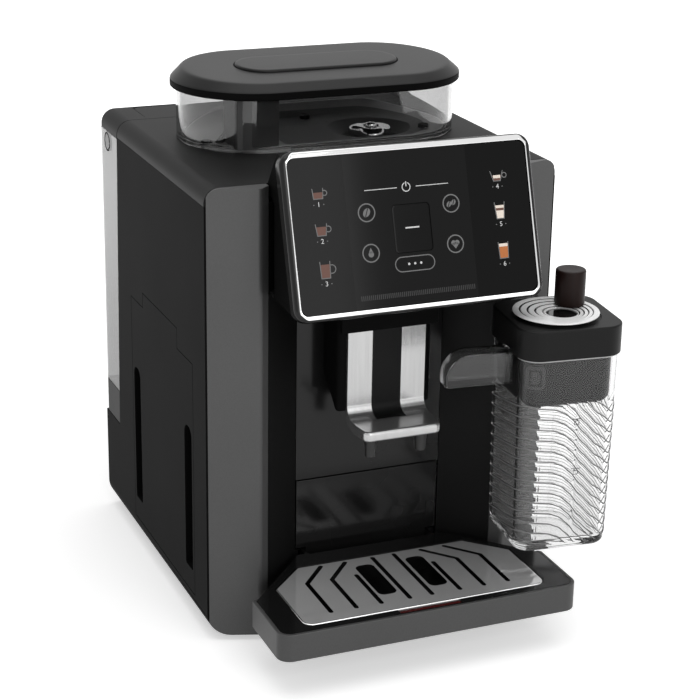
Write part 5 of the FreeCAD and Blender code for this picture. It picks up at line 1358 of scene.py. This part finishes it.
class MACHINE_OT_jug(MachineOperator, bpy.types.Operator):
    """Clear milk jug with waving ribs and a thick base, painted shade lines on the ribs and round the inner
    floor and a painted highlight on the top rim.
    """
    bl_idname = "machine.jug"
    bl_label = "Milk jug"

    width = 67.0
    depth = 65.0
    corner = 13.0
    draft = 2.0
    wall = 2.6
    base = 5.0
    foot = 4.0
    rim = 1.2
    rib_profile = ((0.0, 0.0), (0.8, 0.0), (0.845, 0.6), (0.875, 1.0), (0.905, 1.0), (0.935, 0.6),
                   (0.98, 0.0))
    # Rows of the rib profile between these shares take painted shade lines
    line_from = 0.82
    line_to = 0.95
    rib_margin = 3.0
    rib_top = 169.0
    mark_places = ((3.9, 153.0), (5.2, 118.5))
    # Rise of a rib's line round the jug, by degrees from its right side
    wave = ((0, -18), (45, -12), (90, -8), (135, -9), (180, -4), (225, 1.5), (250, -1), (262, -4),
            (272, -9), (285, -18), (300, -28), (315, -36), (335, -28), (360, -18))

    def execute(self, context):
        sizes = context.scene.machine_sizes
        low, high = machine_box("jug_glass")
        self.low = low.z
        self.high = high.z
        self.pitch = sizes.rib_pitch / MM
        self.relief = sizes.rib_height / MM
        self.swing = max(abs(point[1]) for point in self.wave)
        bm = bmesh.new()
        ring, plan = plan_ring(bm, self.width, self.depth, self.corner, 9, 22)
        for vert in bm.verts:
            vert.co = self.smooth(vert[plan], self.foot + 0.5, self.low)
        bmesh.ops.edgeloop_fill(bm, edges=ring)
        ring = lift_ring(bm, ring, plan, lambda place: self.smooth(place, self.foot, self.low))
        shoulder = self.low + self.foot
        foot = quarter((self.foot, self.low), (0.0, shoulder), 8, False) + [(0.0, shoulder + 0.2)]
        for inset, height in foot:
            ring = lift_ring(bm, ring, plan, lambda place: self.smooth(place, inset, height))
        rows = int((self.high - self.low + 2 * self.swing) / self.pitch) + 1
        for i in range(rows):
            for share, rise in self.rib_profile:
                level = self.low - self.swing + (i + share) * self.pitch
                line = 1 if self.line_from < share < self.line_to else 0
                ring = lift_ring(bm, ring, plan, lambda place: self.ribbed(place, level, rise), line)
        floor = self.low + self.base
        rim = self.high - self.rim
        shape = [(0.0, rim - 0.2), (0.0, rim)] + quarter((0.0, rim), (1.1, self.high - 0.15), 3)
        wall = self.wall
        shape += [(wall - 0.2, self.high - 0.15), (wall, self.high - 0.35), (wall, self.high - 0.6)]
        shape += [(wall, floor + 3.6), (wall, floor + 3.0)]
        shape += quarter((wall, floor + 3.0), (wall + 3.0, floor), 6) + [(wall + 5.6, floor)]
        for inset, height in shape:
            # Index 1 paints a shade line round the inner floor's edge, index 2 a white highlight on the top
            # rim's rounding
            line = 1 if inset > wall + 3.1 else (2 if 0 < inset < 1.2 and height > rim else 0)
            ring = lift_ring(bm, ring, plan, lambda place: self.smooth(place, inset, height), line)
        for face in bm.faces:
            if face.material_index == 1 and face.calc_center_median().z > self.rib_top - 1.5:
                face.material_index = 0
        bmesh.ops.edgeloop_fill(bm, edges=ring)
        bmesh.ops.remove_doubles(bm, verts=bm.verts, dist=FLAT * 20)
        bmesh.ops.dissolve_degenerate(bm, edges=bm.edges, dist=FLAT * 5)
        bmesh.ops.recalc_face_normals(bm, faces=bm.faces)
        made = piece("jug_wall", bm, "jug", "jug_clear", "clear", ["jug_glass"], jug_frame(sizes), sharp=60)
        add_finishes(made, "painted_shade_lines", "rim_line")
        self.marks(sizes)
        return {"FINISHED"}

    def marks(self, sizes):
        """Two small level marks on the front: a cup outline over a tick."""
        sheet = bmesh.new()
        for x, z in self.mark_places:
            out = self.smooth(Vector((0, -self.depth / 2, 0)), -0.05, z)
            upright = move(x, out.y, z) @ UPRIGHT
            cup = stack(3.4, 3.0, 0.8, [(0, 0), (0, 0.12), (0.4, 0.12), (0.4, 0)], 4, 0, True)
            merge(sheet, cup, upright @ move(0, 1.6))
            merge(sheet, prism([(-3.2, 4.1), (3.2, 4.1), (3.2, 4.5), (-3.2, 4.5)], 0, 0.12), upright)
        piece("jug_marks", sheet, "jug", "faint_mark", "clear", place=jug_frame(sizes))

    def smooth(self, place, inset, height):
        """Place on the jug's plain drafted wall, inset at a height."""
        lean = self.draft * (self.high - height) / (self.high - self.low)
        out = outward(place, self.width, self.depth, self.corner)
        return place - out * (inset + lean) + Vector((0, 0, height))

    def wave_at(self, degrees):
        """Rise of a rib's line at an angle, eased between the wave's points."""
        for (start, first), (end, last) in zip(self.wave, self.wave[1:]):
            if degrees <= end:
                share = (degrees - start) / (end - start)
                return first + (last - first) * (0.6 * share + 0.4 * share * share * (3 - 2 * share))

    def ribbed(self, place, level, rise):
        """Place on a rib's line, which rises and falls round the jug and fades at both ends."""
        low = self.low + self.foot + 0.5
        high = self.high - self.rim - 0.5
        height = max(low, min(high, level + self.wave_at(math.degrees(math.atan2(place.y, place.x)) % 360)))
        fade = max(0.0, min(1.0, (height - low) / self.rib_margin, (self.rib_top - height) / self.rib_margin))
        return self.smooth(place, -rise * self.relief * fade, height)


class MACHINE_OT_jug_lid(MachineOperator, bpy.types.Operator):
    """Jug lid with its insert, clip, milk spout, ringed froth dial and handle."""
    bl_idname = "machine.jug_lid"
    bl_label = "Jug lid"

    insert_gap = 1.01
    insert_round = 7.0
    insert_corner = 10.4
    latch_along = 5.0
    latch_up = 21.5
    beak_half = 7.0
    beak_y = -8.0
    beak_round = 16.0
    beak_wall = 1.3
    dial_place = (-2.0, -2.5)
    dial_radius = 27.8
    rings = 4
    ring_step = 0.5
    well_shift = 4.0
    groove = 0.85
    well_radius = 10.4
    handle_drop = 1.2

    def execute(self, context):
        sizes = context.scene.machine_sizes
        place = jug_frame(sizes)
        skin("lid_shell", "jug_lid", "jug_top", "satin_jug", "black", sizes.edge / MM)
        self.insert(place)
        self.beak(place)
        dress("tube_clear", "milk_tube")
        self.dial(place)
        self.handle()
        return {"FINISHED"}

    def insert(self, place):
        """Dark insert with round lower corners, seen through the glass, its latch and its sprung clip."""
        low, high = machine_box("jug_insert")
        clearance = 2 * (MACHINE_OT_jug.wall + self.insert_gap)
        width = MACHINE_OT_jug.width - clearance
        depth = MACHINE_OT_jug.depth - clearance
        bottom = low.z
        rows = [(self.insert_round, bottom)]
        rows += quarter((self.insert_round, bottom), (0, bottom + self.insert_round), 6, False)
        rows += [(0, high.z - 3.2), (0.5, high.z - 2.8), (0.5, high.z - 0.02)]
        body = stack(width, depth, self.insert_corner, rows, 9)
        piece("insert_body", body, "jug_top", "insert_grey", "chassis", ["jug_insert"], place)
        rows = [(0, -0.5), (0, 0.3), (0.3, 0.6), (1.7, 0.6), (2.0, 0.3), (2.0, -0.5)]
        latch = stack(12.0, 15.0, 3.0, rows, 6, 6, True)
        merge(latch, stack(5.4, 8.4, 2.0, [(0, -0.5), (0, 0.2), (0.4, 0.5), (1.2, 0.5)], 6, 4))
        corner = self.insert_corner
        for vert in latch.verts:
            turn = (self.latch_along + vert.co.x) / corner
            reach = corner + vert.co.z
            vert.co = Vector((corner - width / 2 - reach * math.sin(turn),
                              corner - depth / 2 - reach * math.cos(turn),
                              bottom + self.latch_up + vert.co.y))
        bmesh.ops.recalc_face_normals(latch, faces=latch.faces)
        piece("insert_latch", latch, "jug_top", "outlet_grey", "chassis", place=place)
        clip_low, clip_high = machine_box("jug_clip")
        centre = (clip_low + clip_high) / 2
        r = (clip_high.z - clip_low.z) / 2
        rows = [(r, -1.2), (r, 0.9), (r - 0.5, 1.35), (r - 1.4, 1.35), (r - 1.7, 0.8), (r - 3.4, 0.8)]
        clip = turned(r, rows, 12)
        merge(clip, block((-r * 0.65, -0.5, 0.4), (r * 0.65, 0.5, 1.3), 0.2))
        facing = place.to_3x3().normalized().to_4x4()
        local = MACHINE @ move(*centre) @ facing @ Matrix.Rotation(-math.pi / 2, 4, "Y")
        piece("insert_clip", clip, "clip", "inner_black", "chassis", ["jug_clip"], local)

    def beak(self, place):
        """Smoky milk spout: a thin shell, round at its upper outer corner and open below."""
        low, high = machine_box("milk_spout")
        to_jug = place.inverted() @ MACHINE
        tip = (to_jug @ Vector((low.x, (low.y + high.y) / 2, 0))).x
        root = (to_jug @ Vector((high.x, (low.y + high.y) / 2, 0))).x
        corners = [(tip, low.z), (root, low.z), (root, high.z), (tip, high.z)]
        bm = prism(corners, -self.beak_half, self.beak_half)
        soften(bm, edges_at(bm, tip, high.z), self.beak_round, 12)
        soften(bm, sharp_edges(bm, 40), 1.2, 3)
        floor = [face for face in bm.faces if face.normal.y < -0.95]
        bmesh.ops.delete(bm, geom=floor, context="FACES")
        bmesh.ops.recalc_face_normals(bm, faces=bm.faces)
        bmesh.ops.solidify(bm, geom=list(bm.faces), thickness=self.beak_wall)
        upright = place @ move(0, self.beak_y) @ UPRIGHT
        piece("milk_beak", bm, "jug_top", "smoky_plastic", "smoke", ["milk_spout"], upright)

    def dial(self, place):
        """Bright rings that step down to a glossy dark well, with glossy black rings in the grooves and round
        the neck as painted shade.
        """
        low, high = machine_box("froth_dial")
        top = high.z
        spot = place @ move(*self.dial_place)
        r = self.dial_radius
        neck = r - 3.2
        rows = [(neck, low.z), (neck, top - 1.1), (r - 0.2, top - 0.9), (r, top - 0.6), (r - 0.2, top - 0.15),
                (r - 0.9, top)]
        span = (r - 1.2 - self.well_radius - 0.6) / self.rings
        # Thin black tube round the neck under the rim: painted shade
        neck_shade = neck + 0.15
        neck_shade_rows = [(neck_shade, low.z), (neck_shade, top - 1.15), (neck, top - 1.15), (neck, low.z)]
        lines = turned(neck_shade, neck_shade_rows, 24, True)
        for i in range(self.rings):
            start = r - 1.2 - i * span
            level = top - self.ring_step * i
            inner = start - span + 0.3
            outer = inner + self.groove
            rows += [(outer + 0.1, level - 0.08), (outer, level - 1.1), (inner, level - 1.1),
                     (inner - 0.3, level - self.ring_step)]
            # Black ring in each groove: painted shade
            outer -= 0.02
            inner += 0.02
            line = [(outer, level - 1.05), (outer, level - 0.4), (inner, level - 0.6), (inner, level - 1.05)]
            merge(lines, turned(outer, line, 24, True))
        last = rows[-1][1]
        well = self.well_radius
        rows += [(well, last), (well - 0.2, last - 0.3), (well - 0.2, last - 0.9)]
        well -= 0.25
        floor = last - 0.85
        cup_rows = [(well, floor - 0.3), (well, floor), (well - 0.6, floor + 0.1), (well - 2.0, floor + 0.12)]
        cup = turned(well, cup_rows, 20)
        rings = turned(r, rows, 24)
        for name, bm, finish_name, slot, replaces in (
                ("dial_rings", rings, "ring_metal", "chrome", ["froth_dial"]),
                ("dial_groove_shade", lines, "well_black_and_hollow_shade", "black_gloss", []),
                ("dial_well", cup, "well_black_and_hollow_shade", "black_gloss", [])):
            for vert in bm.verts:
                reach = math.hypot(vert.co.x, vert.co.y)
                inner = max(0.0, min(1.0, (neck - reach) / (neck - self.well_radius)))
                vert.co.x += self.well_shift * inner
            piece(name, bm, "froth_control", finish_name, slot, replaces, spot)

    def handle(self):
        """Upright brown-black handle with a soft top edge."""
        low, high = machine_box("dial_handle")
        high.z -= self.handle_drop
        centre = (low + high) / 2
        r = (high.x - low.x) / 2
        rows = [(r - 0.4, low.z - 0.6), (r - 0.4, low.z + 0.3), (r, low.z + 0.8), (r, high.z - 1.1)]
        rows += quarter((r, high.z - 1.1), (r - 1.1, high.z), 3)
        rows += [(r - 3.0, high.z), (r - 6.0, high.z - 0.15)]
        piece("handle_peg", turned(r, rows, 18), "froth_control", "handle_brown", "wood_brown",
              ["dial_handle"], MACHINE @ move(centre.x, centre.y))


class MACHINE_OT_fittings(MachineOperator, bpy.types.Operator):
    """Feet, screws, mains inlet and steam port."""
    bl_idname = "machine.fittings"
    bl_label = "Fittings"

    foot_radius = 11.0

    def execute(self, context):
        low, high = machine_box("rubber_feet")
        r = self.foot_radius
        feet = bmesh.new()
        rows = [(r - 5.0, low.z + 0.6), (r - 4.4, low.z), (r - 0.8, low.z), (r - 0.2, low.z + 0.6),
                (r, high.z)]
        for x in (low.x + r, high.x - r):
            for y in (low.y + r, high.y - r):
                merge(feet, turned(r, rows, 12), move(x, y))
        piece("soft_feet", feet, "housing", "soft_rubber", "rubber", ["rubber_feet"])
        skin("screw_heads", "case_screws", "housing", "motor_steel", "steel", 0.15)
        skin("inlet_socket", "power_inlet", "housing", "inner_black", "black", 0.3)
        skin("steam_nozzle", "steam_port", "housing", "satin_black", "port", 0.4)
        return {"FINISHED"}


class MACHINE_OT_inner_works(MachineOperator, bpy.types.Operator):
    """Finishes of the works inside the case."""
    bl_idname = "machine.inner_works"
    bl_label = "Inner works"

    def execute(self, context):
        dress("inner_black", "inner_frame", "grinder_housing", "brew_chamber", "brew_piston")
        dress("motor_steel", "grinder_motor", "brew_motor", "pump_body", "pump_plunger", "burr_shaft")
        dress("brass", "brew_screw")
        dress("cast_aluminium", "heater_block", "upper_burr", "lower_burr")
        dress("silicone", "water_hoses", "steam_hose")
        dress("circuit_board", "control_board")
        return {"FINISHED"}


class MACHINE_OT_stage(MachineOperator, bpy.types.Operator):
    """Floor, soft studio light, white surroundings and the camera."""
    bl_idname = "machine.stage"
    bl_label = "Stage"

    floor_size = 14.0
    floor_lift = 0.48
    white_from = 0.3
    white_over = 0.9
    surround = 0.42
    camera_place = (-0.4771, -1.1310, 0.6055)
    camera_back = (-0.3653, -0.8669, 0.3392)
    camera_roll = 1.03
    sensor = 36.0
    lamps = (("key_light", (0.1, -0.2, 2.4), (0.0, 0.0, 0.2), 2.4, 28.0),
             ("front_light", (0.1, -2.1, 1.0), (0.0, 0.0, 0.18), 1.4, 14.0))

    def execute(self, context):
        scene = context.scene
        scene.view_settings.view_transform = "Standard"
        self.floor(scene)
        self.surroundings(scene)
        for name, place, target, size, power in self.lamps:
            self.lamp(scene, name, Vector(place), Vector(target), size, power)
        self.camera(scene)
        return {"FINISHED"}

    def seen(self, tree):
        """One for rays that show the surroundings: from the camera, off gloss or through glass."""
        total = tree.node("ShaderNodeLightPath", out="Is Camera Ray")
        outputs = total.socket.node.outputs
        for name in ("Is Glossy Ray", "Is Transmission Ray"):
            total = total + Link(tree, outputs[name])
        return tree.maths("MINIMUM", total, 1.0)

    def floor(self, scene):
        """Pale floor that keeps the machine's shadow."""
        def paint(tree):
            shade = scene.machine_colours.floor
            cloth = tree.noise(3, 2)
            base = principled(tree, {"Base Color": tree.mix(cloth, rgba(shade, 0.99), rgba(shade, 1.0)),
                                     "Roughness": 0.9, "Specular IOR Level": 0.0})
            reach = tree.node("ShaderNodeVectorMath", {"operation": "LENGTH"}, {0: tree.point()}, out="Value")
            rise = tree.node("ShaderNodeMapRange", {"interpolation_type": "SMOOTHSTEP"}, {
                "Value": reach, "From Min": self.white_from, "From Max": self.white_from + self.white_over,
                "To Min": self.floor_lift, "To Max": 1.0})
            glow = tree.node("ShaderNodeEmission", None, {
                "Color": (1, 1, 1, 1), "Strength": self.seen(tree) * rise})
            return tree.node("ShaderNodeAddShader", None, {0: base, 1: glow})

        bm = bmesh.new()
        bmesh.ops.create_grid(bm, x_segments=1, y_segments=1, size=self.floor_size / 2)
        mesh = bpy.data.meshes.new("floor")
        bm.to_mesh(mesh)
        bm.free()
        mesh.materials.append(finish("studio_floor", paint))
        floor = bpy.data.objects.new("floor", mesh)
        scene.collection.objects.link(floor)

    def surroundings(self, scene):
        """White surroundings that light the machine softly."""
        world = bpy.data.worlds.new("studio")
        scene.world = world
        tree = Tree(world)
        strength = self.seen(tree) * (1.0 - self.surround) + self.surround
        back = tree.node("ShaderNodeBackground", None, {"Color": (1, 1, 1, 1), "Strength": strength})
        tree.node("ShaderNodeOutputWorld", None, {"Surface": back})

    def lamp(self, scene, name, place, target, size, power):
        """Square softbox that faces a point."""
        light = bpy.data.lights.new(name, "AREA")
        light.size = size
        light.energy = power
        made = bpy.data.objects.new(name, light)
        made.location = place
        made.rotation_euler = (target - place).to_track_quat("-Z", "Y").to_euler()
        scene.collection.objects.link(made)

    def camera(self, scene):
        """Camera at the photograph's viewing angle."""
        back = Vector(self.camera_back).normalized()
        right = Vector((0, 0, 1)).cross(back).normalized()
        up = back.cross(right)
        roll = math.radians(self.camera_roll)
        across = right * math.cos(roll) + up * math.sin(roll)
        turn = Matrix((across, back.cross(across), back)).transposed()
        data = bpy.data.cameras.new("camera")
        data.lens = scene.machine_sizes.lens
        data.sensor_width = self.sensor
        data.clip_start = 0.05
        camera = bpy.data.objects.new("camera", data)
        camera.matrix_world = move(*self.camera_place) @ turn.to_4x4()
        scene.collection.objects.link(camera)
        scene.camera = camera


class MACHINE_PT_panel(bpy.types.Panel):
    """Lists the machine's sizes, colours and operators in the sidebar."""
    bl_idname = "MACHINE_PT_panel"
    bl_label = "Coffee machine"
    bl_space_type = "VIEW_3D"
    bl_region_type = "UI"
    bl_category = "Machine"

    def draw(self, context):
        layout = self.layout
        for group in (context.scene.machine_sizes, context.scene.machine_colours):
            for name in group.__annotations__:
                layout.prop(group, name)
        for operator in OPERATORS:
            layout.operator(operator.bl_idname)


OPERATORS = (MACHINE_OT_finishes, MACHINE_OT_stage, MACHINE_OT_case, MACHINE_OT_columns, MACHINE_OT_bay,
             MACHINE_OT_door, MACHINE_OT_tank, MACHINE_OT_hopper, MACHINE_OT_hopper_lid,
             MACHINE_OT_grind_dial,
             MACHINE_OT_panel, MACHINE_OT_print, MACHINE_OT_spout, MACHINE_OT_tray, MACHINE_OT_jug,
             MACHINE_OT_jug_lid, MACHINE_OT_fittings, MACHINE_OT_inner_works)
CLASSES = (MachineColours, MachineSizes) + OPERATORS + (MACHINE_PT_panel,)


def register():
    """Add the classes and the scene's settings."""
    for item in CLASSES:
        bpy.utils.register_class(item)
    bpy.types.Scene.machine_colours = PointerProperty(type=MachineColours)
    bpy.types.Scene.machine_sizes = PointerProperty(type=MachineSizes)


def unregister():
    """Take the settings and the classes away."""
    del bpy.types.Scene.machine_sizes
    del bpy.types.Scene.machine_colours
    for item in reversed(CLASSES):
        bpy.utils.unregister_class(item)


def main():
    """Build every piece."""
    register()
    for operator in OPERATORS:
        group, name = operator.bl_idname.split(".")
        getattr(getattr(bpy.ops, group), name)()


if __name__ == "__main__":
    main()
